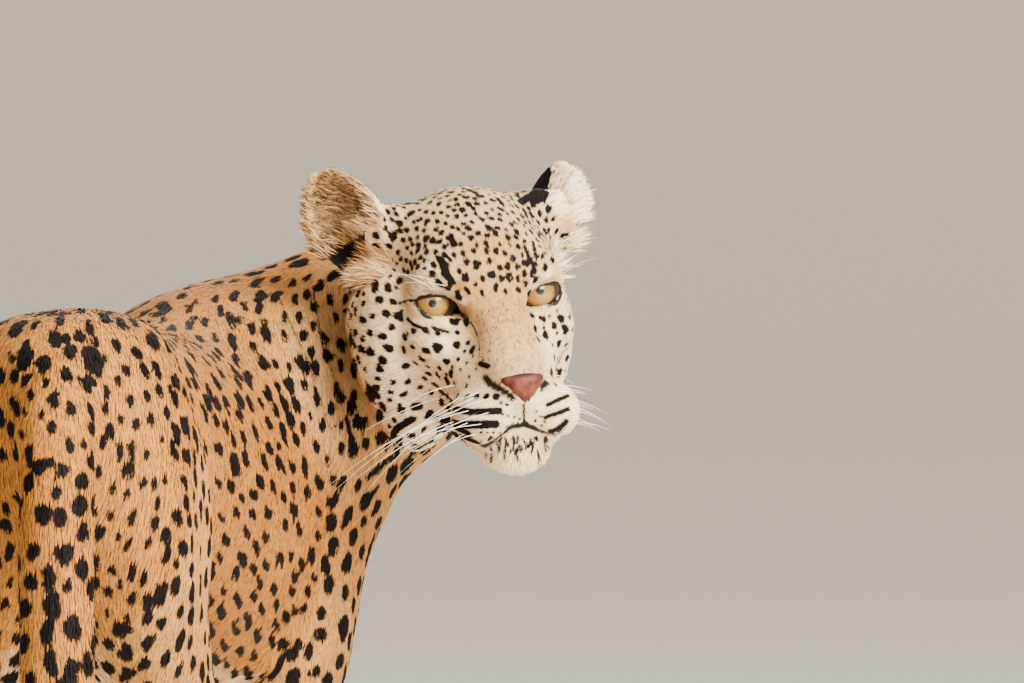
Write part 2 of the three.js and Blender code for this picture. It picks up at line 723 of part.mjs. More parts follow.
/** An ear as a cup with a rim, from its base to its tip. */
function ear({ base, tip, opening, width, notch }) {
  const up = vec(tip).sub(vec(base));
  const height = up.length();
  up.normalize();
  const out = vec(opening).addScaledVector(up, -vec(opening).dot(up)).normalize();
  const wide = new THREE.Vector3().crossVectors(up, out);
  const profile = new THREE.SplineCurve(
    [[0, 0.5], [0.22, 0.86], [0.45, 1], [0.7, 0.9], [0.9, 0.55], [1, 0.16]].map(([h, w]) => new THREE.Vector2(h, w)),
  );
  const rows = 7;
  const columns = 8;
  const shell = (inset) => {
    const rings = [];
    for (let i = 0; i <= rows; i++) {
      const { x: h, y: w } = profile.getPoint(i / rows);
      const deep = (0.78 - 0.66 * h) * width;
      for (let j = 0; j <= columns; j++) {
        const angle = THREE.MathUtils.degToRad(-104 + (208 * j) / columns);
        rings.push(
          vec(base)
            .addScaledVector(up, h * (height - inset * 0.7))
            .addScaledVector(wide, (w * width - inset * 0.5) * Math.sin(angle))
            .addScaledVector(out, inset * 0.8 - (deep - inset * 0.2) * Math.cos(angle)),
        );
      }
    }
    return rings;
  };
  const outer = shell(0);
  const inner = shell(EAR_WALL);
  const n = outer.length;
  const index = [];
  const cell = (a, b, c, d) => index.push(a, c, b, a, d, c);
  const id = (i, j) => i * (columns + 1) + j;
  for (let i = 0; i < rows; i++) {
    for (let j = 0; j < columns; j++) {
      cell(id(i, j), id(i, j + 1), id(i + 1, j + 1), id(i + 1, j));
      cell(n + id(i, j), n + id(i + 1, j), n + id(i + 1, j + 1), n + id(i, j + 1));
    }
    cell(id(i, 0), id(i + 1, 0), n + id(i + 1, 0), n + id(i, 0));
    cell(id(i, columns), n + id(i, columns), n + id(i + 1, columns), id(i + 1, columns));
  }
  for (let j = 0; j < columns; j++) {
    cell(id(0, j), n + id(0, j), n + id(0, j + 1), id(0, j + 1));
    cell(id(rows, j), id(rows, j + 1), n + id(rows, j + 1), n + id(rows, j));
  }
  const positions = [...outer, ...inner].flatMap((p) => p.toArray());
  const cup = solid(new Float32Array(positions), new Uint32Array(index));
  if (!notch) return cup;
  const wedge = new THREE.Shape(NOTCH.map(([x, y]) => new THREE.Vector2(x, y)));
  const place = new THREE.Matrix4().makeBasis(wide, up, out.clone()).setPosition(
    vec(tip).addScaledVector(wide, notch).addScaledVector(out, -width),
  );
  const basis = place.determinant() > 0 ? place : place.makeBasis(wide.negate(), up, out);
  return cup.subtract(placed(new THREE.ExtrudeGeometry(wedge, { depth: 2 * width, bevelEnabled: false }), basis));
}

nodes.head = moved(headSolid, headPlace);
nodes.lower_jaw = moved(jawSolid, headPlace);
nodes.nose = moved(noseSolid, headPlace);
for (const [name, plan] of Object.entries(EARS)) {
  const side = Math.sign(plan.base[0]);
  const ways = [[0, 0, 1], [side, 0, 0], [side, 0, 1], [0, 1, 1]].map((way) =>
    vec(way).transformDirection(headPlace).toArray(),
  );
  nodes[name] = moved(ear(plan), headPlace).subtract(withGap(nodes.head, ways)).subtract(withGap(nodes.neck, ways));
}
for (const side of [1, -1]) {
  nodes[side > 0 ? "eye_left" : "eye_right"] = moved(ball(eyeCentre(side), EYE_RADIUS), headPlace);
}

// The colours of each node's surface: [colour, roughness]
const GOLD = [0xc9945a, 0.85];
const PALE = [0xd9b88c, 0.85];
const CREAM = [0xe2d0b4, 0.85];
const LOOKS = {
  torso: GOLD,
  neck: GOLD,
  tail_root: GOLD,
  tail_middle: PALE,
  tail_tip: PALE,
  head: CREAM,
  lower_jaw: [0xe9e2d6, 0.85],
  nose: [0xb4685a, 0.55],
  ear_left: PALE,
  ear_right: PALE,
  eye_left: [0xb98a35, 0.12],
  eye_right: [0xb98a35, 0.12],
};

// The origin is the middle of the base of the box around it all
const model = new THREE.Group();
for (const [name, made] of Object.entries(nodes)) {
  const [color, roughness] = LOOKS[name] ?? PALE;
  const material = new THREE.MeshStandardMaterial({ color, roughness, metalness: 0 });
  const mesh = new THREE.Mesh(welded(geometryOf(largest(made))), material);
  mesh.name = name;
  model.add(mesh);
}
const box = new THREE.Box3().setFromObject(model);
const middle = box.getCenter(new THREE.Vector3());
for (const mesh of model.children) mesh.geometry.translate(-middle.x, -middle.y, -box.min.z);

export default model;
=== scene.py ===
import logging
import math
from dataclasses import dataclass, field, replace
from enum import Enum
from functools import cached_property

import bmesh
import bpy
import numpy as np
from mathutils import Matrix, Vector
from mathutils.bvhtree import BVHTree


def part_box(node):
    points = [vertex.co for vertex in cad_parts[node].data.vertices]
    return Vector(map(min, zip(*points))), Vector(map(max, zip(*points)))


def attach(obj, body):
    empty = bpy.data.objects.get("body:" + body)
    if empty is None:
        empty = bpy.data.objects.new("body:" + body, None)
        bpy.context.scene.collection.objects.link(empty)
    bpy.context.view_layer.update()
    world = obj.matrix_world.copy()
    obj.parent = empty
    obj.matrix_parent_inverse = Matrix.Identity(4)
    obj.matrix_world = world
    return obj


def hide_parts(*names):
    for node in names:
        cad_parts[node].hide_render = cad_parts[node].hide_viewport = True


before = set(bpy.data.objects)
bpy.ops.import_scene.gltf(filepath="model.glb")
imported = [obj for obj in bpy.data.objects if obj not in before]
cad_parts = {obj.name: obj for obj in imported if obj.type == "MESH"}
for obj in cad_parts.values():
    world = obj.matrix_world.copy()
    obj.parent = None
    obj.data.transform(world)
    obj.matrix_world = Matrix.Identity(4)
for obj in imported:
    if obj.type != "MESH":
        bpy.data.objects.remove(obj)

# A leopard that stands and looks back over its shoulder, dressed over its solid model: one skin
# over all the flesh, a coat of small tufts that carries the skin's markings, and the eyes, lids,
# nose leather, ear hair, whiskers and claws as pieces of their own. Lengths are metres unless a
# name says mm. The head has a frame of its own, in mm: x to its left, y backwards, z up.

LOG = logging.getLogger("leopard")
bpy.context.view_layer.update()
MM = 0.001
SEED = 20
Array = np.ndarray


class Part(Enum):
    """The parts of the body that have a coat of their own."""

    FACE = 0
    HEAD = 1
    NECK = 2
    TRUNK = 3
    LEGS = 4
    PAWS = 5
    TAIL = 6
    EARS = 7


def unit(vectors: Array) -> Array:
    """Vectors brought to length one, row by row."""
    return vectors / np.maximum(np.linalg.norm(vectors, axis=-1, keepdims=True), 1e-12)


def step(low: float, high: float, values: Array) -> Array:
    """A smooth rise from 0 at low to 1 at high."""
    t = np.clip((values - low) / (high - low), 0, 1)
    return t * t * (3 - 2 * t)


def stretched(vectors: Array, way: Array, by: float) -> Array:
    """Vectors drawn out along one direction, or pressed together where by is less than one."""
    return vectors + (vectors @ way)[..., None] * (by - 1) * way


def between(start: tuple, end: tuple, share: float) -> tuple:
    """The pixel at a share of the way from one to another."""
    return tuple(np.array(start) * (1 - share) + np.array(end) * share)


def among(part: Array, *parts: Part) -> Array:
    """Which places belong to any of some parts."""
    return np.isin(part, [p.value for p in parts])


@dataclass(frozen=True)
class Stance:
    """How the body stands in the frame, and how the head is held, in the body's own millimetres."""

    eyes_at: tuple = (-238.0, -138.0, 590.0)
    turn: float = -161.0
    nod: float = 8.7
    tilt: float = -5.6
    eye_out: float = 36.0
    eye_back: float = 2.0

    @cached_property
    def turned(self) -> Array:
        """The head's rotation as a 3 x 3 matrix."""
        about_z = Matrix.Rotation(math.radians(self.turn), 3, "Z")
        about_x = Matrix.Rotation(math.radians(self.nod), 3, "X")
        about_y = Matrix.Rotation(math.radians(self.tilt), 3, "Y")
        return np.array(about_z @ about_x @ about_y)

    @cached_property
    def shift(self) -> Array:
        """From the body's own origin to the frame's, in metres, found from where the eyes are."""
        middles = [sum(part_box(f"eye_{side}"), Vector()) / 2 for side in ("left", "right")]
        between = np.array((middles[0] + middles[1]) / 2)
        own = np.array(self.eyes_at) + self.turned @ np.array((0, self.eye_back, 0))
        return between - own * MM

    def body(self, points: Array) -> Array:
        """Points in the body's own millimetres, as points of the frame."""
        return np.asarray(points, float) * MM + self.shift

    def from_head(self, points: Array) -> Array:
        """Points in the head's millimetres, as points of the frame."""
        return self.body(np.asarray(points, float) @ self.turned.T + np.array(self.eyes_at))

    def to_head(self, points: Array) -> Array:
        """Points of the frame, in the head's millimetres."""
        own = (points - self.shift) / MM - np.array(self.eyes_at)
        return own @ self.turned

    def eye(self, side: int) -> Array:
        """The middle of an eyeball, in the head's millimetres. The side is 1 for the left eye, else -1."""
        return np.array((side * self.eye_out, self.eye_back, 0.0))

    def eye_gap(self, head: Array) -> Array:
        """How far points in the head's millimetres are from the middle of the nearer eye."""
        aside = np.abs(head[:, 0]) - self.eye_out
        return np.sqrt(aside ** 2 + (head[:, 1] - self.eye_back) ** 2 + head[:, 2] ** 2)


STANCE = Stance()


@dataclass(frozen=True)
class View:
    """The photograph's view of the body: how far off, which way and how long the lens is."""

    distance: float = 8.0
    yaw: float = 4.4
    drop: float = 1.5
    focal_pixels: float = 11600.0
    width: int = 1024
    height: int = 683
    eyes_pixel: tuple = (487.0, 297.0)
    sensor_mm: float = 36.0

    def axes(self) -> tuple[Array, Array, Array]:
        """The camera's right, up and forward directions."""
        yaw = math.radians(self.yaw)
        drop = math.radians(self.drop)
        forward = np.array((
            math.sin(yaw) * math.cos(drop), -math.cos(yaw) * math.cos(drop), -math.sin(drop)
        ))
        right = np.array((-math.cos(yaw), -math.sin(yaw), 0.0))
        return right, np.cross(right, forward), forward

    def place(self) -> Array:
        """Where the camera stands."""
        right, up, forward = self.axes()
        metres = self.distance / self.focal_pixels
        across = (self.width / 2 - self.eyes_pixel[0]) * metres
        above = (self.height / 2 - self.eyes_pixel[1]) * metres
        eyes = STANCE.body(np.array(STANCE.eyes_at))
        return eyes + right * across - up * above - forward * self.distance

    def ray(self, pixel: tuple[float, float]) -> tuple[Vector, Vector]:
        """The line of sight through a pixel, as its start and its direction."""
        right, up, forward = self.axes()
        x = (pixel[0] - self.width / 2) / self.focal_pixels
        y = (self.height / 2 - pixel[1]) / self.focal_pixels
        return Vector(self.place()), Vector(unit(forward + right * x + up * y))

    def camera(self) -> bpy.types.Object:
        """Make the camera and look through it."""
        data = bpy.data.cameras.new("camera")
        data.sensor_width = self.sensor_mm
        data.lens = self.focal_pixels / self.width * self.sensor_mm
        data.clip_end = 200.0
        made = bpy.data.objects.new("camera", data)
        bpy.context.scene.collection.objects.link(made)
        right, up, forward = self.axes()
        columns = np.stack([right, up, -forward], axis=1)
        made.matrix_world = Matrix.Translation(self.place()) @ Matrix(columns.tolist()).to_4x4()
        bpy.context.scene.camera = made
        return made


VIEW = View()


# Node materials

class Sock:
    """An output socket that builds Math nodes from Python's operators."""

    def __init__(self, graph: "Graph", link: bpy.types.NodeSocket) -> None:
        """Keep the socket and the graph that it is in."""
        self.graph = graph
        self.link = link

    def maths(self, operation: str, first: object, second: object = None) -> "Sock":
        """One Math node on one or two values."""
        values = {0: first} if second is None else {0: first, 1: second}
        return self.graph.add("ShaderNodeMath", {"operation": operation}, values)

    def __add__(self, other: object) -> "Sock":
        """This plus the other."""
        return self.maths("ADD", self, other)

    def __radd__(self, other: object) -> "Sock":
        """The other plus this."""
        return self.maths("ADD", other, self)

    def __sub__(self, other: object) -> "Sock":
        """This less the other."""
        return self.maths("SUBTRACT", self, other)

    def __rsub__(self, other: object) -> "Sock":
        """The other less this."""
        return self.maths("SUBTRACT", other, self)

    def __mul__(self, other: object) -> "Sock":
        """This times the other."""
        return self.maths("MULTIPLY", self, other)

    def __rmul__(self, other: object) -> "Sock":
        """The other times this."""
        return self.maths("MULTIPLY", other, self)

    def __truediv__(self, other: object) -> "Sock":
        """This over the other."""
        return self.maths("DIVIDE", self, other)

    def __rtruediv__(self, other: object) -> "Sock":
        """The other over this."""
        return self.maths("DIVIDE", other, self)

    def __pow__(self, other: object) -> "Sock":
        """This to the power of the other."""
        return self.maths("POWER", self, other)

    def rise(self, low: float, high: float) -> "Sock":
        """A smooth rise from 0 where this is low to 1 where it is high."""
        settings = {"interpolation_type": "SMOOTHSTEP"}
        return self.graph.add("ShaderNodeMapRange", settings, {0: self, 1: low, 2: high})


class Graph:
    """The nodes of one material."""

    def __init__(self, name: str) -> None:
        """Start a material with only its output."""
        self.material = bpy.data.materials.new(name)
        self.material.use_nodes = True
        self.tree = self.material.node_tree
        self.tree.nodes.clear()

    def add(self, kind: str, settings: dict | None = None, values: dict | None = None) -> Sock:
        """Add a node.

        Args:
            kind: the node's type.
            settings: its own settings, set first. A list under "stops" fills a colour ramp.
            values: sockets by name or number, each a value or a Sock.

        Returns:
            Its first output that is switched on.
        """
        node = self.tree.nodes.new(kind)
        for name, value in (settings or {}).items():
            if name == "stops":
                self.fill_ramp(node.color_ramp, value)
            else:
                setattr(node, name, value)
        for name, value in (values or {}).items():
            if isinstance(value, Sock):
                self.tree.links.new(value.link, node.inputs[name])
            else:
                node.inputs[name].default_value = value
        outputs = [o for o in node.outputs if o.enabled]
        return Sock(self, outputs[0]) if outputs else None

    def fill_ramp(self, ramp: bpy.types.ColorRamp, stops: list) -> None:
        """Give a colour ramp its stops, each a place and a colour."""
        while len(ramp.elements) > 1:
            ramp.elements.remove(ramp.elements[0])
        ramp.elements[0].position = stops[0][0]
        ramp.elements[0].color = (*stops[0][1], 1.0)
        for place, colour in stops[1:]:
            ramp.elements.new(place).color = (*colour, 1.0)

    def number(self, name: str) -> Sock:
        """A number stored on the mesh."""
        found = self.add("ShaderNodeAttribute", {"attribute_name": name})
        return Sock(self, found.link.node.outputs["Fac"])

    def stored(self, name: str) -> Sock:
        """A vector stored on the mesh."""
        found = self.add("ShaderNodeAttribute", {"attribute_name": name})
        return Sock(self, found.link.node.outputs["Vector"])

    def place(self) -> Sock:
        """The place on the object."""
        found = self.add("ShaderNodeTexCoord")
        return Sock(self, found.link.node.outputs["Object"])

    def blend(self, share: object, first: object, second: object, how: str = "MIX") -> Sock:
        """Mix two colours, each given as red, green and blue or as a Sock."""
        first = (*first, 1.0) if isinstance(first, tuple) else first
        second = (*second, 1.0) if isinstance(second, tuple) else second
        settings = {"data_type": "RGBA", "blend_type": how}
        return self.add("ShaderNodeMix", settings, {0: share, 6: first, 7: second})

    def noise(self, scale: float, detail: float = 2.0, vector: Sock | None = None) -> Sock:
        """Noise from 0 to 1, so many bumps to a metre."""
        vector = vector or self.place()
        return self.add("ShaderNodeTexNoise", {}, {"Vector": vector, "Scale": scale, "Detail": detail})

    def raised(self, height: Sock, distance: float, strength: float = 1.0) -> Sock:
        """A bump from a height from 0 to 1, so many metres deep."""
        values = {"Height": height, "Distance": distance, "Strength": strength}
        return self.add("ShaderNodeBump", {}, values)

    def finish(self, values: dict) -> bpy.types.Material:
        """Put the values on a Principled shader and send it to the output."""
        shader = self.add("ShaderNodeBsdfPrincipled", {}, values)
        self.add("ShaderNodeOutputMaterial", {}, {"Surface": shader})
        return self.material


Colour = tuple[float, float, float]


def srgb(red: float, green: float, blue: float) -> Colour:
    """A colour read from 0 to 255, as the renderer counts it."""
    shares = [c / 255 for c in (red, green, blue)]
    return tuple(c / 12.92 if c <= 0.04045 else ((c + 0.055) / 1.055) ** 2.4 for c in shares)


@dataclass(frozen=True)
class CoatFinish:
    """Short fur and the skin under it, which share their markings."""

    gold: Colour = srgb(164, 100, 32)
    straw: Colour = srgb(196, 146, 82)
    cream: Colour = srgb(250, 224, 178)
    black: Colour = srgb(4, 3, 4)
    brown: Colour = srgb(84, 52, 30)
    # The near black of hairless lips, lids and tear ducts, also used as painted shade in the ear hollows and
    # the nostrils.
    bare_and_shade: Colour = srgb(14, 9, 8)
    ragged_mm: float = 1.3
    edge_mm: float = 0.5
    halo_mm: float = 2.4
    halo: float = 0.22
    mottle_scale: float = 520.0
    mottle: float = 0.7
    light: float = 0.72
    ticking: float = 0.42
    hair_scale: float = 1500.0
    tuft_bump: tuple = (0.0004, 0.35)
    skin_bump: tuple = (0.0012, 0.7)

    def material(self, name: str, tufts: bool) -> bpy.types.Material:
        """The finish as a material, for the tufts or for the skin."""
        g = Graph(name)
        warm = g.number("warm")
        pale = g.number("pale")
        vary = g.number("vary")
        wide = g.noise(9.0, 2.0)
        mottle = (g.noise(self.mottle_scale, 3.0) - 0.5) * self.mottle
        ground = g.blend((warm + (wide - 0.5) * 0.5).rise(0.0, 1.0), self.straw, self.gold)
        ground = g.blend(pale.rise(0.05, 0.95), ground, self.cream)
        fine = g.noise(620.0, 2.0)
        depth = g.number("mark") + (fine - 0.5) * self.ragged_mm
        dark = 1.0 - depth.rise(-self.edge_mm, self.edge_mm)
        halo = 1.0 - depth.rise(-self.edge_mm, self.halo_mm)
        ground = g.blend(halo * self.halo, ground, self.brown)
        tip = g.number("tip")
        # Each tuft is darker at its root and lighter towards its tip: painted shade among the tufts.
        shade = mottle + self.light + tip * 0.30 + (vary - 0.5) * 0.42
        if not tufts:
            shade = mottle + self.light + (fine - 0.5) * 0.5
        lit = g.add("ShaderNodeVectorMath", {"operation": "SCALE"}, {0: ground, "Scale": shade})
        ticked = g.blend(vary.rise(0.72, 1.0) * self.ticking * (1.0 - pale * 0.7), lit, self.brown)
        black = g.blend(vary * 0.06, self.black, self.brown)
        colour = g.blend(dark, ticked if tufts else lit, black)
        # Near black: hairless skin, and painted shade in the ear hollows and nostrils.
        bare_and_shade = g.number("bare_and_shade")
        colour = g.blend(bare_and_shade, colour, self.bare_and_shade)
        hair = g.noise(self.hair_scale, 1.0)
        normal = g.raised(hair, *(self.tuft_bump if tufts else self.skin_bump))
        return g.finish({
            "Base Color": colour,
            "Roughness": 0.72 - bare_and_shade * 0.3,
            "Normal": normal,
            "Specular IOR Level": 0.1,
        })


@dataclass(frozen=True)
class EyeFinish:
    """A cat's eye: a pale amber iris with fine rays, a round pupil and a wet surface."""

    amber: Colour = srgb(154, 116, 46)
    rim: Colour = srgb(98, 62, 22)
    # painted shadow of the upper lid, laid on the iris's top
    lid_shadow_olive: Colour = srgb(80, 64, 30)
    white: Colour = srgb(38, 28, 24)
    ring: Colour = (0.012, 0.008, 0.006)
    pupil: Colour = (0.004, 0.004, 0.004)
    iris_mm: float = 12.2
    pupil_mm: float = 2.5
    soft_mm: float = 0.3
    ring_mm: float = 0.9
    white_mm: float = 1.5

    def material(self) -> bpy.types.Material:
        """The finish as a material. It reads the place on the eye, in mm from the iris's middle."""
        g = Graph("eye")
        spot = g.stored("gaze")
        out = g.add("ShaderNodeVectorMath", {"operation": "LENGTH"}, {0: spot})
        out = Sock(g, out.link.node.outputs["Value"])
        rays = g.add("ShaderNodeVectorMath", {"operation": "NORMALIZE"}, {0: spot})
        streaks = g.noise(7.0, 4.0, rays)
        flecks = g.noise(0.5, 3.0, spot)
        parts = g.add("ShaderNodeSeparateXYZ", {}, {0: spot})
        upper = Sock(g, parts.link.node.outputs["Z"])
        inner = out / self.iris_mm
        colour = g.blend((inner + (streaks - 0.5) * 0.35).rise(0.62, 1.0), self.amber, self.rim)
        # Towards its top the iris turns olive: painted shadow of the upper lid.
        lid_shade = (upper / self.iris_mm + (flecks - 0.5) * 0.4).rise(-0.5, 0.55)
        colour = g.blend(lid_shade * 0.85, colour, self.lid_shadow_olive)
        colour = g.blend((streaks - 0.42).rise(0.0, 0.3) * 0.35, colour, self.rim)
        colour = g.blend(out.rise(self.iris_mm - self.ring_mm, self.iris_mm), colour, self.ring)
        beyond = out.rise(self.iris_mm + self.soft_mm, self.iris_mm + self.white_mm)
        colour = g.blend(beyond, colour, self.white)
        pupil = 1.0 - out.rise(self.pupil_mm - self.soft_mm, self.pupil_mm + self.soft_mm)
        colour = g.blend(pupil, colour, self.pupil)
        return g.finish({
            "Base Color": colour,
            "Roughness": 0.4,
            "Specular IOR Level": 0.15,
            "Coat Weight": 0.55,
            "Coat Roughness": 0.03,
            "Normal": g.raised(streaks, 0.0002, 0.3),
        })


@dataclass(frozen=True)
class LeatherFinish:
    """Damp nose leather, pink with a dark border and a fine pebbled grain."""

    pink: Colour = srgb(110, 52, 36)
    deep: Colour = srgb(64, 29, 21)
    border: Colour = srgb(30, 20, 20)

    def material(self) -> bpy.types.Material:
        """The finish as a material."""
        g = Graph("nose_leather")
        cells = g.add("ShaderNodeTexVoronoi", {}, {"Vector": g.place(), "Scale": 1300.0})
        blotch = g.noise(160.0, 3.0)
        colour = g.blend(blotch.rise(0.3, 0.75), self.pink, self.deep)
        colour = g.blend(g.number("edge"), colour, self.border)
        return g.finish({
            "Base Color": colour,
            "Roughness": 0.5 + blotch * 0.15,
            "Specular IOR Level": 0.2,
            "Normal": g.raised(cells, 0.0003, 0.6),
        })


@dataclass(frozen=True)
class PlainFinish:
    """A finish of two close colours with a soft grain, for lids, whiskers, claws and the floor."""

    name: str
    first: Colour
    second: Colour
    roughness: float = 0.5
    scale: float = 300.0
    depth: float = 0.0002
    coat: float = 0.0

    def material(self) -> bpy.types.Material:
        """The finish as a material."""
        g = Graph(self.name)
        grain = g.noise(self.scale, 3.0)
        return g.finish({
            "Base Color": g.blend(grain.rise(0.3, 0.7), self.first, self.second),
            "Roughness": self.roughness + (grain - 0.5) * 0.2,
            "Normal": g.raised(grain, self.depth, 0.5),
            "Specular IOR Level": 0.25,
            "Coat Weight": self.coat,
            "Coat Roughness": 0.12,
        })


LID_SKIN = PlainFinish("lid_skin", srgb(10, 8, 8), srgb(24, 17, 16), 0.6, 500.0)
WHISKER = PlainFinish("whisker", srgb(250, 246, 238), srgb(232, 222, 206), 0.4, 60.0, 0.0001)
DARK_HAIR = PlainFinish("dark_hair", srgb(44, 34, 32), srgb(66, 50, 44), 0.5, 60.0, 0.0001)
CLAW_HORN = PlainFinish("claw_horn", srgb(206, 190, 166), srgb(120, 98, 78), 0.35, 240.0, 0.0002, 0.2)


# Meshes and arrays

def linked(name: str, mesh: bpy.types.Mesh) -> bpy.types.Object:
    """Put a mesh in the scene as an object of that name."""
    made = bpy.data.objects.new(name, mesh)
    bpy.context.scene.collection.objects.link(made)
    return made


def evaluated(source: bpy.types.Object, name: str) -> bpy.types.Mesh:
    """The object's mesh with its modifiers applied, and the object itself taken away."""
    graph = bpy.context.evaluated_depsgraph_get()
    mesh = bpy.data.meshes.new_from_object(source.evaluated_get(graph))
    mesh.name = name
    bpy.data.objects.remove(source)
    return mesh


def modelled(made: bmesh.types.BMesh, name: str) -> bpy.types.Mesh:
    """A smooth mesh of what was modelled, which is then let go."""
    for face in made.faces:
        face.smooth = True
    mesh = bpy.data.meshes.new(name)
    made.to_mesh(mesh)
    made.free()
    return mesh


def points_of(mesh: bpy.types.Mesh) -> Array:
    """The vertices of a mesh as an array."""
    flat = np.empty(len(mesh.vertices) * 3)
    mesh.vertices.foreach_get("co", flat)
    return flat.reshape(-1, 3)


def normals_of(mesh: bpy.types.Mesh) -> Array:
    """The vertex normals of a mesh as an array."""
    flat = np.empty(len(mesh.vertices) * 3, np.float32)
    mesh.vertex_normals.foreach_get("vector", flat)
    return flat.reshape(-1, 3).astype(float)


def moved_to(mesh: bpy.types.Mesh, points: Array) -> None:
    """Move the vertices of a mesh."""
    mesh.vertices.foreach_set("co", points.ravel())
    mesh.update()


def store(mesh: bpy.types.Mesh, name: str, values: Array) -> None:
    """Store a number or a vector on each vertex."""
    kind = "FLOAT" if values.ndim == 1 else "FLOAT_VECTOR"
    made = mesh.attributes.new(name, kind, "POINT")
    made.data.foreach_set("value" if values.ndim == 1 else "vector", values.astype(np.float32).ravel())


def triangles_of(mesh: bpy.types.Mesh) -> Array:
    """The vertex numbers of each triangle of a mesh."""
    mesh.calc_loop_triangles()
    flat = np.empty(len(mesh.loop_triangles) * 3, np.int32)
    mesh.loop_triangles.foreach_get("vertices", flat)
    return flat.reshape(-1, 3)


def edges_of(mesh: bpy.types.Mesh) -> tuple[Array, Array]:
    """The vertex numbers at the first and at the second end of each edge."""
    flat = np.empty(len(mesh.edges) * 2, np.int32)
    mesh.edges.foreach_get("vertices", flat)
    return flat[0::2], flat[1::2]


@dataclass
class Axis:
    """A bent line through a limb, with its half thickness, in the direction that the hair lies."""

    part: Part
    line: Array
    thick: Array

    def near(self, points: Array) -> tuple[Array, Array, Array]:
        """Find the nearest place on the line.

        Args:
            points: places in the frame.

        Returns:
            For each, its distance in half thicknesses, the line's direction and the length along it.
        """
        best = np.full(len(points), np.inf)
        way = np.zeros_like(points)
        along = np.zeros(len(points))
        run = 0.0
        ways = unit(np.diff(self.line, axis=0))
        turns = unit(np.vstack([ways[:1], ways[:-1] + ways[1:], ways[-1:]]))
        for i in range(len(self.line) - 1):
            a, b = self.line[i], self.line[i + 1]
            span = b - a
            length = np.linalg.norm(span)
            t = np.clip((points - a) @ span / length ** 2, 0, 1)
            foot = a + t[:, None] * span
            thick = self.thick[i] + t * (self.thick[i + 1] - self.thick[i])
            far = np.linalg.norm(points - foot, axis=1) / thick
            nearer = far < best
            best = np.where(nearer, far, best)
            bent = turns[i] + t[:, None] * (turns[i + 1] - turns[i])
            way[nearer] = bent[nearer]
            along = np.where(nearer, run + t * length, along)
            run += length
        return best, unit(way), along

    def lengths(self) -> Array:
        """The length along the line at each of its points."""
        spans = np.linalg.norm(np.diff(self.line, axis=0), axis=1)
        return np.concatenate([[0.0], np.cumsum(spans)])

    def at(self, along: Array) -> Array:
        """The places at some lengths along the line."""
        runs = self.lengths()
        return np.stack([np.interp(along, runs, self.line[:, k]) for k in range(3)], axis=1)

    def way_at(self, along: Array) -> Array:
        """The line's direction at some lengths."""
        return unit(self.at(along + 0.01) - self.at(along - 0.01))


@dataclass
class Anatomy:
    """The lines through the body that say which part a place belongs to and how its hair lies."""

    trunk: tuple = (
        (-40, -345, 464, 80), (-24, -280, 448, 105), (-10, -80, 443, 112),
        (-4, 150, 474, 98), (-4, 330, 490, 88), (-5, 430, 505, 62),
    )
    neck: tuple = (
        (-212, -216, 589, 72), (-190, -270, 571, 72), (-152, -310, 554, 76),
        (-104, -324, 524, 80), (-62, -310, 500, 84), (-36, -240, 486, 86),
    )
    tail: tuple = (
        (-5, 424, 540, 34), (-10, 466, 486, 28), (-12, 486, 410, 27), (-14, 496, 320, 26),
        (-14, 508, 232, 25), (-12, 536, 160, 24), (-8, 590, 118, 23), (-2, 648, 122, 22),
        (4, 690, 160, 20), (8, 712, 215, 13),
    )
    nose_mm: tuple = (0.0, -112.0, -62.0)
    paw_top: float = 0.066
    hip_rise: float = 0.04
    toe_height: float = 0.02
    leg_thick: tuple = (0.075, 0.062, 0.048, 0.034, 0.034)
    reach: float = 2.2
    trunk_down: float = 0.35
    axes: list = field(default_factory=list)

    def prepare(self) -> None:
        """Lay the lines, the legs' from the boxes of their own nodes."""
        for part, stations in ((Part.TRUNK, self.trunk), (Part.NECK, self.neck), (Part.TAIL, self.tail)):
            rows = np.array(stations, float)
            self.axes.append(Axis(part, STANCE.body(rows[:, :3]), rows[:, 3] * MM))
        for leg in ("fore_left", "fore_right", "hind_left", "hind_right"):
            self.axes.append(self.leg(leg))

    def leg(self, name: str) -> Axis:
        """The line down one leg, from its upper part to its toes."""
        upper = [np.array(c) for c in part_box(f"{name}_upper")]
        lower = [np.array(c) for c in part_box(f"{name}_lower")]
        paw = [np.array(c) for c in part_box(f"{name}_paw")]
        top = (upper[0] + upper[1]) / 2
        knee = np.array((*((lower[0] + lower[1]) / 2)[:2], lower[1][2]))
        ankle = np.array((*((paw[0] + paw[1]) / 2)[:2], paw[1][2]))
        toes = np.array(((paw[0][0] + paw[1][0]) / 2, paw[0][1], self.toe_height))
        line = np.array([top + (0, 0, self.hip_rise), (top + knee) / 2, knee, ankle, toes])
        return Axis(Part.LEGS, line, np.array(self.leg_thick))

    def sorted(self, points: Array) -> tuple[Array, Array, Array, Array]:
        """Sort places into parts.

        Args:
            points: places in the frame.

        Returns:
            The part's number, the lie of the hair, the length along the part, and the axis's number.
        """
        total = np.zeros_like(points)
        nearest = np.full(len(points), np.inf)
        part = np.zeros(len(points), int)
        along = np.zeros(len(points))
        which = np.zeros(len(points), int)
        for number, axis in enumerate(self.axes):
            far, way, run = axis.near(points)
            total += way * np.exp(-self.reach * far ** 2)[:, None]
            closer = far < nearest
            nearest = np.where(closer, far, nearest)
            part[closer] = axis.part.value
            along = np.where(closer, run, along)
            which = np.where(closer, number, which)
        total = unit(total)
        total[:, 2] -= np.where(part == Part.TRUNK.value, self.trunk_down, 0.0)
        paws = (part == Part.LEGS.value) & (points[:, 2] < self.paw_top)
        part[paws] = Part.PAWS.value
        return part, unit(total), along, which

    def head_lie(self, head: Array) -> Array:
        """The lie of the hair on the head: away from the nose, then back, in the frame."""
        way = unit(head - np.array(self.nose_mm))
        back = step(-30.0, 60.0, head[:, 1])[:, None]
        way = unit(way * (1 - back * 0.6) + np.array((0.0, 1.0, -0.1)) * back * 0.6)
        return way @ STANCE.turned.T


ANATOMY = Anatomy()


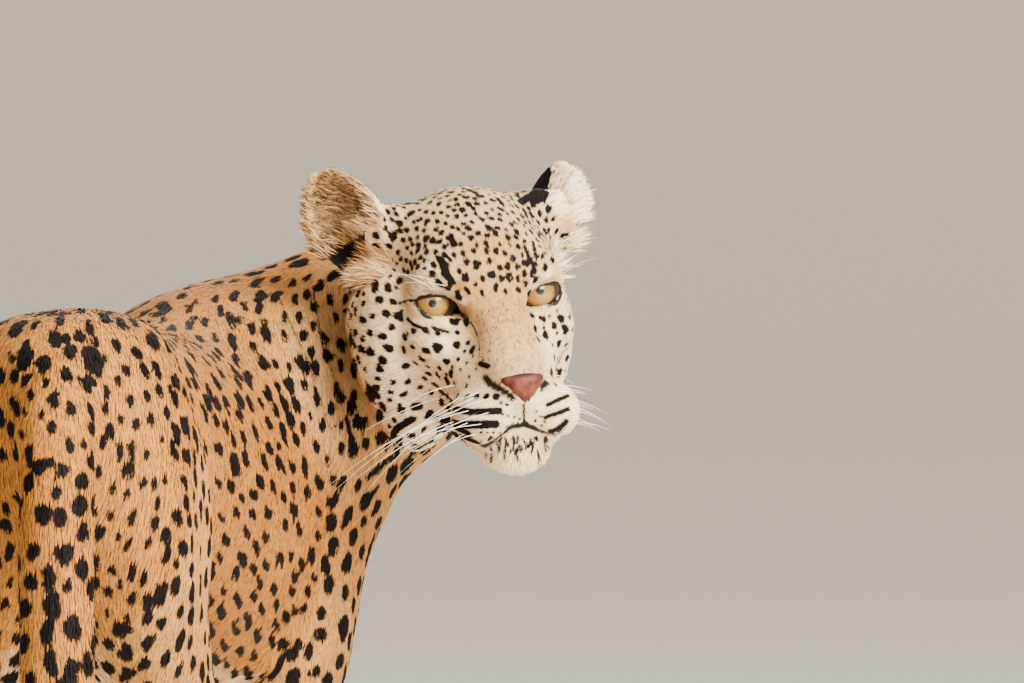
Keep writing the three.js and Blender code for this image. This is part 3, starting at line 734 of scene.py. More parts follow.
@dataclass
class Ink:
    """Rounded strokes on the surface. Each has two ends and a half width, in metres."""

    starts: list = field(default_factory=list)
    ends: list = field(default_factory=list)
    halves: list = field(default_factory=list)
    gap: float = 0.009
    cell: float = 0.02

    def stroke(self, start: Array, end: Array, half: float) -> None:
        """Add one stroke."""
        self.starts.append(np.asarray(start, float))
        self.ends.append(np.asarray(end, float))
        self.halves.append(half)

    def line(self, points: list, half: float) -> None:
        """Add a bent stroke, broken where the surface falls away."""
        for start, end in zip(points[:-1], points[1:]):
            if np.linalg.norm(np.subtract(end, start)) < self.gap:
                self.stroke(start, end, half)

    def distance_mm(self, points: Array, reach: float = 0.006) -> Array:
        """How far each point is from the nearest stroke's edge, in mm, less than nought inside."""
        cell = self.cell
        keys = np.floor(points / cell).astype(np.int64)
        keys -= keys.min(axis=0)
        low = np.floor(points.min(axis=0) / cell).astype(np.int64)
        spread = keys.max(axis=0) + 1
        codes = (keys[:, 0] * spread[1] + keys[:, 1]) * spread[2] + keys[:, 2]
        order = np.argsort(codes, kind="stable")
        codes = codes[order]
        found = np.full(len(points), reach)
        for start, end, half in zip(self.starts, self.ends, self.halves):
            grown = half + reach
            first = np.floor((np.minimum(start, end) - grown) / cell).astype(np.int64) - low
            last = np.floor((np.maximum(start, end) + grown) / cell).astype(np.int64) - low
            first = np.maximum(first, 0)
            last = np.minimum(last, spread - 1)
            runs = []
            for x in range(first[0], last[0] + 1):
                for y in range(first[1], last[1] + 1):
                    row = (x * spread[1] + y) * spread[2]
                    left, right = np.searchsorted(codes, (row + first[2], row + last[2] + 1))
                    if right > left:
                        runs.append(order[left:right])
            if not runs:
                continue
            near = np.concatenate(runs)
            offset = points[near] - start
            span = end - start
            share = np.clip(offset @ span / max(span @ span, 1e-12), 0, 1)
            far = np.linalg.norm(offset - share[:, None] * span, axis=1) - half
            found[near] = np.minimum(found[near], far)
        return found / MM


@dataclass(frozen=True)
class SpotRule:
    """How one part is spotted, in mm: a spot's half length and half width, and the room it takes."""

    half_long: float
    half_wide: float
    room_long: float
    room_wide: float


@dataclass
class Blade:
    """The shape of one tuft: a thin leaf with a keel, pointed at both ends."""

    rows: int = 2
    widest: float = 0.4
    keel: float = 0.35

    def stations(self) -> Array:
        """How far along its rows of vertices stand, from 0 to 1."""
        return np.array([0.0, self.widest, 1.0]) if self.rows == 2 else np.linspace(0, 1, self.rows + 1)

    def made(self) -> tuple[Array, Array, Array, Array]:
        """Make it from a grid.

        Returns:
            Along each vertex's blade from 0 to 1, its side from -1 to 1, its height, and the faces.
        """
        made = bmesh.new()
        bmesh.ops.create_grid(made, x_segments=2, y_segments=self.rows, size=1.0)
        for vertex in made.verts:
            along = (vertex.co.y + 1) / 2
            if self.rows == 2 and 0 < along < 1:
                along = self.widest
            wide = math.sin(math.pi * along ** 0.8) if self.rows > 2 else float(0 < along < 1)
            vertex.co = Vector((vertex.co.x * wide, along, self.keel * wide * (1 - abs(vertex.co.x))))
        bmesh.ops.remove_doubles(made, verts=made.verts, dist=1e-4)
        bmesh.ops.triangulate(made, faces=made.faces)
        made.verts.index_update()
        places = np.array([v.co[:] for v in made.verts])
        faces = np.array([[v.index for v in f.verts] for f in made.faces])
        made.free()
        return places[:, 1], places[:, 0], places[:, 2], faces


@dataclass
class Tufts:
    """Many tufts that will be one piece. Every array has one row for each tuft."""

    roots: Array
    normals: Array
    ways: Array
    lengths: Array
    widths: Array
    lifts: Array
    numbers: dict
    places: Array
    droop: float = 0.0
    blade: Blade = field(default_factory=Blade)
    soft: float = 0.7
    sunk: float = 0.035
    patch: float = 0.003

    def picked(self, chosen: Array) -> "Tufts":
        """Some of the tufts."""
        names = ("roots", "normals", "ways", "lengths", "widths", "lifts", "places")
        rows = {name: getattr(self, name)[chosen] for name in names}
        numbers = {name: values[chosen] for name, values in self.numbers.items()}
        return replace(self, numbers=numbers, **rows)

    def build(self, name: str, material: bpy.types.Material) -> bpy.types.Object:
        """Make the piece, with its attributes and its map of small patches."""
        along, side, height, faces = self.blade.made()
        count, corners = len(self.roots), len(along)
        across = unit(np.cross(self.ways, self.normals))
        run = along[None, :] * self.lengths[:, None]
        rise = np.sin(self.lifts)[:, None] * run * (1.15 - 0.6 * along[None, :])
        rise += height[None, :] * self.widths[:, None] - self.sunk * self.lengths[:, None]
        slide = side[None, :] * self.widths[:, None] / 2
        points = self.roots[:, None] + self.ways[:, None] * (run * np.cos(self.lifts)[:, None])[..., None]
        points = points + self.normals[:, None] * rise[..., None] + across[:, None] * slide[..., None]
        points[..., 2] -= self.droop * run ** 2
        turned = self.normals[:, None] * self.soft + (1 - self.soft) * (
            self.normals[:, None] + across[:, None] * side[None, :, None]
        )
        mesh = bpy.data.meshes.new(name)
        mesh.vertices.add(count * corners)
        mesh.vertices.foreach_set("co", points.reshape(-1).astype(np.float32))
        index = (faces[None] + (np.arange(count) * corners)[:, None, None]).reshape(-1).astype(np.int32)
        mesh.loops.add(len(index))
        mesh.loops.foreach_set("vertex_index", index)
        mesh.polygons.add(len(index) // 3)
        mesh.polygons.foreach_set("loop_start", np.arange(0, len(index), 3, dtype=np.int32))
        mesh.polygons.foreach_set("use_smooth", np.ones(len(index) // 3, bool))
        mesh.update(calc_edges=True)
        store(mesh, "tip", np.tile(along, count))
        for attribute, values in self.numbers.items():
            if values.ndim == 2:
                rows = np.searchsorted(self.blade.stations(), along - 1e-4)
                store(mesh, attribute, values[:, rows].reshape(-1))
            else:
                store(mesh, attribute, np.repeat(values, corners))
        patch = np.stack([side / 2, along - 0.5], axis=1) * self.patch
        spots = (self.places[:, None] + patch[None]).reshape(-1, 2)
        layer = mesh.uv_layers.new(name="OFBake")
        layer.uv.foreach_set("vector", spots[index].ravel().astype(np.float32))
        mesh.normals_split_custom_set_from_vertices(unit(turned).reshape(-1, 3))
        made = linked(name, mesh)
        made.data.materials.append(material)
        return made


@dataclass(frozen=True)
class CoatRule:
    """How the coat of one part is made, in mm: its tufts, how they lift and how many layers lie."""

    length: float
    width: float
    lift: float
    layers: float
    depth: float


COATS = {
    Part.FACE: CoatRule(3.8, 0.62, 11.0, 1.5, 1.2),
    Part.HEAD: CoatRule(5.6, 0.76, 12.0, 1.5, 2.0),
    Part.NECK: CoatRule(9.0, 1.05, 11.0, 1.45, 2.6),
    Part.TRUNK: CoatRule(10.0, 1.3, 10.0, 1.38, 2.8),
    Part.LEGS: CoatRule(8.0, 1.15, 9.0, 1.22, 2.0),
    Part.PAWS: CoatRule(5.5, 0.95, 10.0, 1.5, 1.4),
    Part.TAIL: CoatRule(12.0, 1.3, 13.0, 1.6, 3.0),
    Part.EARS: CoatRule(3.6, 0.7, 9.0, 1.7, 0.4),
}


@dataclass
class Clay:
    """The head's surface while it is shaped, in the head's millimetres."""

    points: Array
    normals: Array

    def swell(self, at: tuple, size: tuple, amount: float) -> None:
        """Raise a round patch, or sink it where the amount is less than nought, on both sides."""
        for side in (-1, 1) if at[0] else (1,):
            middle = np.array((at[0] * side, at[1], at[2]))
            far = (((self.points - middle) / np.array(size)) ** 2).sum(axis=1)
            self.points += self.normals * (amount * np.exp(-far))[:, None]

    def crease(self, line: Array, width: float, depth: float) -> None:
        """Press a groove along a line."""
        far = np.full(len(self.points), 1e9)
        for start, end in zip(line[:-1], line[1:]):
            span = end - start
            share = np.clip((self.points - start) @ span / (span @ span), 0, 1)
            gap = np.linalg.norm(self.points - start - share[:, None] * span, axis=1)
            far = np.minimum(far, gap)
        self.points -= self.normals * (depth * np.exp(-(far / width) ** 2))[:, None]


@dataclass
class Markings:
    """The spots, bars and strokes of the coat, painted shade along the neck's folds and in the nostrils, and
    where it is pale, warm or near black.
    """

    surface: BVHTree
    dark: Ink = field(default_factory=Ink)
    light: Ink = field(default_factory=Ink)
    amber: Ink = field(default_factory=Ink)
    # Near-black strokes of the lips and tear ducts, and of the nostrils as painted shade.
    skin: Ink = field(default_factory=Ink)
    stride_pixels: float = 3.0
    chin_flecks: int = 60
    bridge_flecks: int = 260
    farthest: float = 4.6
    lobed: float = 0.35
    same_place: float = 0.004
    fold_shadow_mm: float = 0.55
    ring_from: float = 0.45
    ring_room: float = 0.75

    # What is read off the photograph: pixels along each stroke, and its half width in mm
    face_strokes: tuple = (
        (((438, 258), (444, 266)), 1.9), (((442, 262), (448, 277)), 2.8), (((448, 272), (451, 286)), 1.8),
        (((444, 254), (452, 262)), 1.3), (((526, 252), (531, 264)), 1.9), (((530, 259), (535, 272)), 1.8),
        (((448, 408), (472, 412), (500, 411)), 2.4), (((436, 418), (462, 425), (496, 424)), 2.9),
        (((442, 428), (458, 436), (476, 442)), 4.2), (((452, 425), (470, 434)), 3.0),
        (((547, 405), (558, 400), (568, 396)), 1.5), (((545, 417), (557, 413), (568, 409)), 1.6),
        (((551, 431), (558, 428), (565, 422)), 2.5), (((399, 304), (415, 300)), 1.0),
        (((402, 310), (403, 321)), 1.4), (((408, 319), (414, 325), (426, 330)), 1.3),
        (((433, 328), (446, 332)), 1.2), (((480, 364), (489, 367)), 2.0), (((471, 322), (478, 336)), 0.7),
        (((521, 203), (534, 194), (545, 181), (554, 170)), 3.4), (((532, 203), (543, 198), (550, 184)), 3.2),
        (((524, 404), (524, 422)), 0.9), (((514, 426), (524, 424), (535, 428)), 2.2),
    )
    dot_rows: tuple = (
        ((455, 384), (467, 386), 2, 1.9), ((448, 396), (497, 397), 6, 2.7), ((502, 403), (508, 405), 2, 1.2),
        ((503, 414), (520, 418), 4, 1.1), ((500, 425), (514, 427), 3, 1.1),
        ((482, 432), (507, 432), 5, 1.2), ((536, 411), (544, 421), 3, 1.1),
        ((535, 420), (548, 429), 3, 1.2), ((555, 385), (566, 381), 2, 2.0),
        ((556, 370), (565, 369), 2, 1.4), ((461, 370), (480, 350), 4, 1.4),
        ((470, 377), (490, 352), 4, 1.2), ((447, 375), (465, 352), 4, 1.7),
        ((540, 320), (552, 345), 4, 1.3), ((549, 317), (560, 342), 4, 1.4),
        ((557, 312), (566, 332), 3, 1.5), ((430, 334), (458, 332), 4, 1.3),
    )
    # The neck's folds as thin dark lines: painted shade in the creases of the skin.
    neck_fold_shadows: tuple = (
        ((307, 234), (311, 268), (316, 310), (322, 345), (334, 377), (354, 411), (364, 440), (373, 461)),
        ((279, 296), (290, 322), (304, 352), (318, 392), (332, 430)),
    )
    throat_bars: tuple = (
        (((386, 446), (398, 428), (414, 418)), 2.6), (((368, 476), (384, 462), (398, 452)), 2.8),
        (((404, 462), (416, 448), (431, 440)), 2.2), (((366, 500), (378, 486)), 2.6),
        (((346, 416), (353, 445)), 2.2),
    )
    lip_line: tuple = (
        (524, 423), (510, 428), (498, 438), (488, 444), (477, 449), (462, 441), (448, 431), (437, 417)
    )
    lip_line_far: tuple = ((524, 423), (534, 428), (545, 432), (556, 434), (564, 428))
    # The nostrils' openings, painted near black as their shade.
    nostril_shade: tuple = (
        ((485, 378), (491, 384), (498, 388), (505, 392), (512, 398)),
        ((552, 370), (551, 376), (547, 382), (541, 388)),
    )
    tear_ducts: tuple = (
        ((452, 309), (460, 313), (467, 319)), ((534, 296), (533, 303), (534, 311)),
    )
    white_patches: tuple = (
        ((464, 303), 3.0), ((459, 322), 3.2), ((448, 326), 2.6), ((438, 287), 3.6), ((424, 291), 3.4),
        ((531, 297), 1.6), ((545, 277), 2.6), ((537, 315), 2.2), ((443, 351), 9.0), ((415, 366), 10.0),
        ((393, 395), 10.0), ((356, 300), 9.0), ((470, 418), 9.0), ((430, 270), 4.0), ((520, 452), 14.0),
    )
    amber_patches: tuple = (((461, 287), 3.4), ((524, 283), 2.8))

    def found(self, pixel: tuple[float, float]) -> Array | None:
        """The place on the skin that a pixel of the photograph shows."""
        start, way = VIEW.ray(pixel)
        place = self.surface.ray_cast(start, way)[0]
        return None if place is None else np.array(place)

    def traced(self, pixels: tuple) -> list:
        """The places on the skin along some pixels, and between them."""
        dense = [pixels[0]]
        for start, end in zip(pixels[:-1], pixels[1:]):
            count = max(1, round(math.dist(start, end) / self.stride_pixels))
            for share in np.linspace(0, 1, count + 1)[1:]:
                dense.append(between(start, end, share))
        places = [self.found(pixel) for pixel in dense]
        return [place for place in places if place is not None]

    def mirrored(self, places: list) -> list:
        """The same places on the head's other side, set on the skin."""
        flipped = [STANCE.from_head(STANCE.to_head(p) * np.array((-1.0, 1.0, 1.0))) for p in places]
        return [np.array(self.surface.find_nearest(Vector(p))[0]) for p in flipped]

    def seen(self, place: Array) -> bool:
        """Whether the photograph shows a place."""
        eye = Vector(VIEW.place())
        hit = self.surface.ray_cast(eye, (Vector(place) - eye).normalized())[0]
        return hit is not None and (hit - Vector(place)).length < self.same_place

    def both(self, ink: Ink, pixels: tuple, half_mm: float) -> None:
        """A stroke where the photograph shows it, and its mirror image where that is hidden."""
        places = self.traced(pixels)
        if not places:
            return
        places = places * 2 if len(places) == 1 else places
        ink.line(places, half_mm * MM)
        other = self.mirrored(places)
        if not self.seen(other[0]) and not self.seen(other[-1]):
            ink.line(other, half_mm * MM)

    def draw_face(self) -> None:
        """Everything on the head that the photograph shows stroke by stroke."""
        for pixels, half in (*self.face_strokes, *self.throat_bars):
            self.both(self.dark, pixels, half)
        for start, end, count, half in self.dot_rows:
            for share in np.linspace(0, 1, count):
                self.both(self.dark, (between(start, end, share),), half)
        draw = np.random.default_rng(SEED + 9)
        for _ in range(self.chin_flecks):
            x, y = draw.uniform(480, 548), 435 + 26 * draw.random() ** 2
            length = draw.uniform(3, 8)
            self.both(self.dark, ((x, y), (x + draw.normal(0, 1.5), y + length)), draw.uniform(0.5, 1.0))
        for _ in range(self.bridge_flecks):
            x, y = draw.uniform(474, 546), draw.uniform(286, 374)
            self.both(self.dark, ((x, y), (x + draw.normal(0, 0.6), y - 1.6)), draw.uniform(0.05, 0.28))
        # Painted shade along the neck's folds.
        for fold in self.neck_fold_shadows:
            self.dark.line(self.traced(fold), self.fold_shadow_mm * MM)
        for pixel, half in self.white_patches:
            self.both(self.light, (pixel,), half)
        for pixel, half in self.amber_patches:
            self.both(self.amber, (pixel,), half)
        self.both(self.skin, self.lip_line, 1.8)
        self.both(self.skin, self.lip_line[3:7], 2.2)
        self.both(self.skin, self.lip_line[:2], 2.9)
        self.skin.line(self.traced(self.lip_line_far), 1.7 * MM)
        for duct in self.tear_ducts:
            self.both(self.skin, duct, 1.6)
        # The nostrils are painted near black: painted shade of their openings.
        for nostril in self.nostril_shade:
            self.skin.line(self.traced(nostril), 2.7 * MM)

    def scatter(self, skin: "Skin", chosen: Array, rule: SpotRule, rosettes: Array, seed: int) -> int:
        """Spot a part of the skin, evenly but not in a pattern.

        Args:
            skin: the skin, with its points, its lie and its normals.
            chosen: the vertices that may hold a spot.
            rule: the size of the spots and their room.
            rosettes: for each vertex, how much its spots open into rings, from 0 to 1.
            seed: what the draw starts from.

        Returns:
            How many spots were laid.
        """
        draw = np.random.default_rng(seed)
        order = draw.permutation(chosen)
        points = skin.points[order]
        free = np.ones(len(order), bool)
        cell = max(rule.room_long, rule.room_wide) * self.farthest * MM
        keys = [tuple(k) for k in np.floor(points / cell).astype(int)]
        boxes: dict = {}
        for number, key in enumerate(keys):
            boxes.setdefault(key, []).append(number)
        boxes = {key: np.array(numbers) for key, numbers in boxes.items()}
        laid = 0
        for number in range(len(order)):
            if not free[number]:
                continue
            vertex = order[number]
            open_ring, pull = rosettes[vertex], (skin.away[vertex], skin.drawn[vertex])
            grown = 1 + self.ring_room * open_ring
            x, y, z = keys[number]
            near = [
                boxes[x + i, y + j, z + k]
                for i in (-1, 0, 1) for j in (-1, 0, 1) for k in (-1, 0, 1) if (x + i, y + j, z + k) in boxes
            ]
            near = np.concatenate(near)
            way = skin.spot_ways[vertex]
            across = np.cross(way, skin.normals[vertex])
            offset = stretched((points[near] - points[number]) / MM, pull[0], 1 / pull[1])
            along = offset @ way / (rule.room_long * grown)
            aside = offset @ across / (rule.room_wide * grown * (1 + 0.25 * open_ring))
            rest = (offset ** 2).sum(axis=1) / (rule.room_long * grown) ** 2
            free[near[np.maximum(along ** 2 + aside ** 2, rest * 0.3) < draw.uniform(0.8, 1.25)]] = False
            self.lay(points[number], way, across, pull, rule, open_ring, draw)
            laid += 1
        return laid

    def lay(
        self, at: Array, way: Array, across: Array, pull: tuple, rule: SpotRule, ring: float, draw: object
    ) -> None:
        """Lay one spot, or the ring of small spots that makes a rosette.

        Args:
            at: its middle.
            way: the direction of its length.
            across: the direction of its width.
            pull: the direction that spots are drawn out in there, and by how much.
            rule: its size.
            ring: how far it opens, from 0 to 1.
            draw: what the chances are drawn from.
        """
        turn = draw.normal(0, 0.12)
        cos, sin = math.cos(turn), math.sin(turn)
        way, across = way * cos + across * sin, across * cos - way * sin
        size = draw.uniform(0.75, 1.2)
        if ring > self.ring_from:
            count = draw.integers(4, 6)
            wide = rule.half_long * 1.9 * size * (0.8 + 0.3 * ring)
            start = draw.uniform(0, math.tau)
            for k in range(count):
                angle = start + math.tau * (k + draw.uniform(-0.15, 0.15)) / count
                spot = at + (way * math.cos(angle) * 1.15 + across * math.sin(angle)) * wide * MM
                tangent = across * math.cos(angle) - way * math.sin(angle)
                half = tangent * wide * draw.uniform(0.16, 0.34) * MM
                self.dark.stroke(spot - half, spot + half, rule.half_wide * draw.uniform(0.95, 1.35) * MM)
            self.amber.stroke(at, at + way * 0.001, wide * 0.75 * MM)
            return
        length = stretched(way * rule.half_long * size * draw.uniform(0.8, 1.2), *pull)
        width = stretched(across * rule.half_wide * size * draw.uniform(0.85, 1.15), *pull)
        basis = np.stack([way, across])
        turned, sizes, _ = np.linalg.svd(basis @ np.stack([length, width], axis=1))
        major, minor = turned.T @ basis
        narrow, reach = sizes[1], max(sizes[0] - sizes[1], 0.1)
        kink = minor * draw.normal(0, 0.3) * narrow
        start, middle, end = at - major * reach * MM, at + kink * MM, at + major * reach * MM
        self.dark.stroke(start, middle, narrow * draw.uniform(0.75, 1.0) * MM)
        self.dark.stroke(middle, end, narrow * draw.uniform(0.6, 1.0) * MM)
        if draw.random() < self.lobed:
            lobe = at + (major * reach * draw.uniform(-0.9, 0.9) + minor * narrow * draw.choice((-1, 1))) * MM
            self.dark.stroke(lobe, lobe + major * reach * 0.3 * MM, narrow * 0.6 * MM)


@dataclass(frozen=True)
class Tones:
    """How pale and how warm each part's ground is, from 0 to 1."""

    body_warm: float = 0.75
    head_pale: float = 0.42
    cheek_paler: float = 0.28
    bridge_less: float = 0.5
    head_warm: float = 0.2
    belly_pale: float = 0.7
    neck_pale: float = 0.08
    under_neck: float = 0.4
    throat_pale: float = 0.26
    throat_cooler: float = 0.25
    leg_pale: float = 0.12
    inner_leg: float = 0.4
    leg_warm: float = 0.55
    under_tail: float = 0.6
    ear_pale: float = 0.3
    ear_rim: float = 0.6
    ear_warm: float = 0.35
    patch: float = 0.95
    amber_warmer: float = 0.4
    amber_less_pale: float = 0.8


@dataclass
class Skin:
    """The one skin over all the flesh, and what is known at each of its vertices."""

    fine: float = 0.0023
    most_triangles: int = 185000
    swell: float = 0.00045
    cut_at: tuple = (-200.0, -238.0, 588.0)
    cut_way: tuple = (-0.45, 0.87, 0.05)
    apart: tuple = ("eye_left", "eye_right")
    body_rounds: int = 14
    head_rounds: int = 5
    lie_rounds: int = 40
    head_middle: tuple = (0.0, 10.0, -12.0)
    head_half: tuple = (92.0, 150.0, 125.0)
    ear_reach: float = 62.0
    rear_downward: float = 1.6
    downward: dict = field(default_factory=lambda: {Part.NECK: 1.5, Part.TRUNK: 0.5, Part.LEGS: 0.6})
    face_from: float = -24.0
    ear_rounds: int = 1
    behind: tuple = (36.0, 6.0)
    behind_rounds: int = 14
    skull_middle: tuple = (0.0, 52.0, 11.0)
    skull_half: tuple = (60.0, 70.0, 58.0)
    skull_beyond: float = 1.21
    wedge_way: tuple = (0.911, -0.237, -0.336)
    wedge_at: float = 23.0
    cavity_way: tuple = (0.968, -0.252, 0.0)
    cavity_at: float = -82.0
    slope: float = 0.35
    undrawn_mm: tuple = (18.0, 30.0)
    sole: float = 0.006
    depth_rounds: int = 6
    plain_round_eye: float = 27.0
    bare_round_eye: tuple = (17.8, 17.2)
    most_drawn: float = 4.4
    less_on_top: float = 1.8
    drawn_elsewhere: float = 1.8
    always_dark: float = -2.0
    tones: Tones = Tones()

    # The thick skin of the cheeks and of the bent neck, as ellipsoids in the head's millimetres
    ruffs: tuple = (
        ((-58.0, 46.0, -32.0), (31.0, 42.0, 54.0)),
        ((-46.0, 50.0, -74.0), (30.0, 42.0, 40.0)),
        ((44.0, 44.0, -36.0), (26.0, 36.0, 46.0)),
    )
    ears: tuple = (
        ((60, 67, 14), (80, 85, 73), (0.9, 0.42, -0.1)),
        ((-62, 58, 16), (-97, 83, 84), (-0.72, -0.68, 0.0)),
    )
    swells: tuple = (
        ((37, -50, -71), (15, 22, 16), 8.5),
        ((20, -70, -52), (12, 14, 9), -2.0),
        ((23, -38, -16), (9, 18, 15), -2.6),
        ((50, -14, -24), (16, 16, 13), 2.2),
        ((34, -20, 17), (16, 9, 6), 1.6),
    )
    creases: tuple = (
        (((17, -84, -43), (29, -68, -45), (42, -44, -52), (50, -24, -62)), 5.0, 2.0),
        (((14, -22, 13), (26, -17, 17), (38, -15, 16), (50, -8, 11)), 2.6, 1.4),
        (((8, -92, -78), (20, -90, -86), (34, -70, -88), (44, -40, -84)), 2.2, 2.6),
        (((0, -96, -66), (0, -96, -84)), 2.0, 1.6),
    )
    object: bpy.types.Object = None

    def copied(self, names: list[str]) -> bmesh.types.BMesh:
        """Merged copies of some nodes, swelled until they overlap a little."""
        made = bmesh.new()
        for name in names:
            made.from_mesh(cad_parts[name].data)
        bmesh.ops.remove_doubles(made, verts=made.verts, dist=1e-5)
        for middle, half in self.ruffs:
            ball = bmesh.ops.create_icosphere(made, subdivisions=4, radius=1.0)["verts"]
            places = np.array([v.co[:] for v in ball]) * np.array(half) + np.array(middle)
            for vertex, place in zip(ball, STANCE.from_head(places)):
                vertex.co = place
        made.normal_update()
        for vertex in made.verts:
            vertex.co += vertex.normal * self.swell
        return made

    def fleshed(self) -> bmesh.types.BMesh:
        """All the flesh run together in one even sheet, which is made coarser away from the head."""
        source = self.copied([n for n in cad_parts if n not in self.apart])
        rough = linked("flesh", modelled(source, "flesh"))
        voxels = rough.modifiers.new("voxels", "REMESH")
        voxels.mode = "VOXEL"
        voxels.voxel_size = self.fine
        rough = linked("flesh", evaluated(rough, "flesh"))
        group = rough.vertex_groups.new(name="coarse")
        group.add(np.flatnonzero(~self.head_zone(points_of(rough.data))[0]).tolist(), 1.0, "REPLACE")
        thinner = rough.modifiers.new("thinner", "DECIMATE")
        thinner.vertex_group = "coarse"
        thinner.ratio = self.most_triangles / (2 * len(rough.data.polygons))
        made = bmesh.new()
        made.from_mesh(evaluated(rough, "flesh"))
        keep_largest(made)
        return made

    def head_zone(self, places: Array) -> tuple[Array, Array]:
        """Which places are on the head, and which of these are on an ear."""
        ahead = (places - STANCE.body(np.array(self.cut_at))) @ np.array(self.cut_way) > 0
        own = STANCE.to_head(places)
        round_head = (((own - np.array(self.head_middle)) / np.array(self.head_half)) ** 2).sum(axis=1) < 1
        on_ear = np.zeros(len(own), bool)
        for base, tip, _ in self.ears:
            base, up = np.array(base), np.array(tip) - np.array(base)
            on_ear |= (np.linalg.norm(own - base - up / 2, axis=1) < self.ear_reach) & ((own - base) @ up > 0)
        on_head = ahead & (round_head | on_ear)
        return on_head, on_ear & on_head

    def build(self) -> None:
        """Make the skin, smooth it, shape the head and draw it in by the coat's depth."""
        made = self.fleshed()
        bmesh.ops.recalc_face_normals(made, faces=made.faces)
        places = np.array([v.co[:] for v in made.verts])
        own = STANCE.to_head(places)
        on_head, on_ear = self.head_zone(places)
        behind = on_head & ~on_ear & (own[:, 1] > self.behind[0]) & (own[:, 2] < self.behind[1])
        zones = (
            (~on_head, self.body_rounds), (on_head & ~on_ear, self.head_rounds), (on_ear, self.ear_rounds),
            (behind, self.behind_rounds),
        )
        for zone, rounds in zones:
            chosen = [v for v, is_in in zip(made.verts, zone) if is_in]
            for _ in range(rounds):
                bmesh.ops.smooth_vert(
                    made, verts=chosen, factor=0.5, use_axis_x=True, use_axis_y=True, use_axis_z=True
                )
        self.object = linked("skin", modelled(made, "skin"))
        self.on_head = on_head
        self.shape_head()
        self.know()
        self.draw_in()

    def shape_head(self) -> None:
        """Model the muzzle, the cheeks, the brows and the lids."""
        mesh = self.object.data
        points = points_of(mesh)
        head = STANCE.to_head(points[self.on_head])
        clay = Clay(head, normals_of(mesh)[self.on_head] @ STANCE.turned)
        for at, size, amount in self.swells:
            clay.swell(at, size, amount)
        for side in (-1.0, 1.0):
            for line, width, depth in self.creases:
                clay.crease(np.array(line) * np.array((side, 1.0, 1.0)), width, depth)
        points[self.on_head] = STANCE.from_head(clay.points)
        moved_to(mesh, points)

    def know(self) -> None:
        """Work out each vertex's part and the lie of its hair."""
        mesh = self.object.data
        self.points = points_of(mesh)
        self.normals = normals_of(mesh)
        self.head = STANCE.to_head(self.points)
        part, ways, _, _ = ANATOMY.sorted(self.points)
        down = np.array([self.downward.get(Part(p), 0.0) for p in range(len(Part))])[part]
        rear = step(0.1, 0.7, self.normals[:, 1]) * (part != Part.TAIL.value) * (part != Part.PAWS.value)
        ways[:, 2] -= down + rear * self.rear_downward
        head_ways = ANATOMY.head_lie(self.head)
        share = step(40.0, 95.0, self.head[:, 1])
        share = np.where(self.on_head, share, 1.0)[:, None]
        ways = ways * share + head_ways * (1 - share)
        part = np.where(self.on_head & (self.head[:, 1] < 84), Part.HEAD.value, part)
        face = self.on_head & (self.head[:, 1] < self.face_from)
        part[face] = Part.FACE.value
        self.ear_run = np.zeros(len(part))
        self.ear_back = np.zeros(len(part))
        inner = self.normals @ STANCE.turned
        skull = np.linalg.norm((self.head - np.array(self.skull_middle)) / np.array(self.skull_half), axis=1)
        for base, tip, opening in self.ears:
            base, tip = np.array(base, float), np.array(tip, float)
            up = tip - base
            run = (self.head - base) @ up / (up @ up)
            aside = np.linalg.norm(self.head - base - run[:, None] * up, axis=1)
            inside = self.on_head & (run > 0.14) & (aside < 36) & (skull > self.skull_beyond)
            part[inside] = Part.EARS.value
            self.ear_run[inside] = run[inside]
            self.ear_back[inside] = -(inner @ unit(np.array(opening, float)))[inside]
            ways[inside] = unit(up) @ STANCE.turned.T
        first, second = edges_of(mesh)
        for _ in range(self.lie_rounds):
            ways = unit(ways)
            total = ways.copy()
            for axis in range(3):
                total[:, axis] += np.bincount(first, ways[second, axis], len(ways))
                total[:, axis] += np.bincount(second, ways[first, axis], len(ways))
            ways = total
        ways = ways - (ways * self.normals).sum(axis=1, keepdims=True) * self.normals
        self.part, self.ways = part, unit(ways)

    def draw_in(self) -> None:
        """Draw the skin in by the depth of the coat that will lie on it."""
        depth = np.array([COATS[Part(p)].depth for p in range(len(Part))])[self.part]
        depth = depth * step(*self.undrawn_mm, STANCE.eye_gap(self.head))
        depth = np.where(self.points[:, 2] < self.sole, 0.0, depth)
        mesh = self.object.data
        first, second = edges_of(mesh)
        for _ in range(self.depth_rounds):
            total = depth + np.bincount(first, depth[second], len(depth))
            total += np.bincount(second, depth[first], len(depth))
            count = 1 + np.bincount(first, minlength=len(depth)) + np.bincount(second, minlength=len(depth))
            depth = total / count
        self.points = self.points - self.normals * depth[:, None] * MM
        moved_to(mesh, self.points)
        self.normals = normals_of(mesh)
        self.head = STANCE.to_head(self.points)

    def dress(self) -> None:
        """Lay the markings and give the skin its finish."""
        surface = BVHTree.FromPolygons(self.points.tolist(), triangles_of(self.object.data).tolist())
        self.marks = Markings(surface)
        self.marks.draw_face()
        self.spot()
        self.numbers = self.colours()
        for name, values in self.numbers.items():
            store(self.object.data, name, values)
        marks = np.where(self.black_ear, self.always_dark, self.mark_at(self.points))
        store(self.object.data, "mark", marks)
        self.object.data.materials.clear()
        self.object.data.materials.append(CoatFinish().material("coat_skin", False))

    def mark_at(self, points: Array) -> Array:
        """How far in mm each point is from the edge of a dark mark."""
        return self.marks.dark.distance_mm(points)

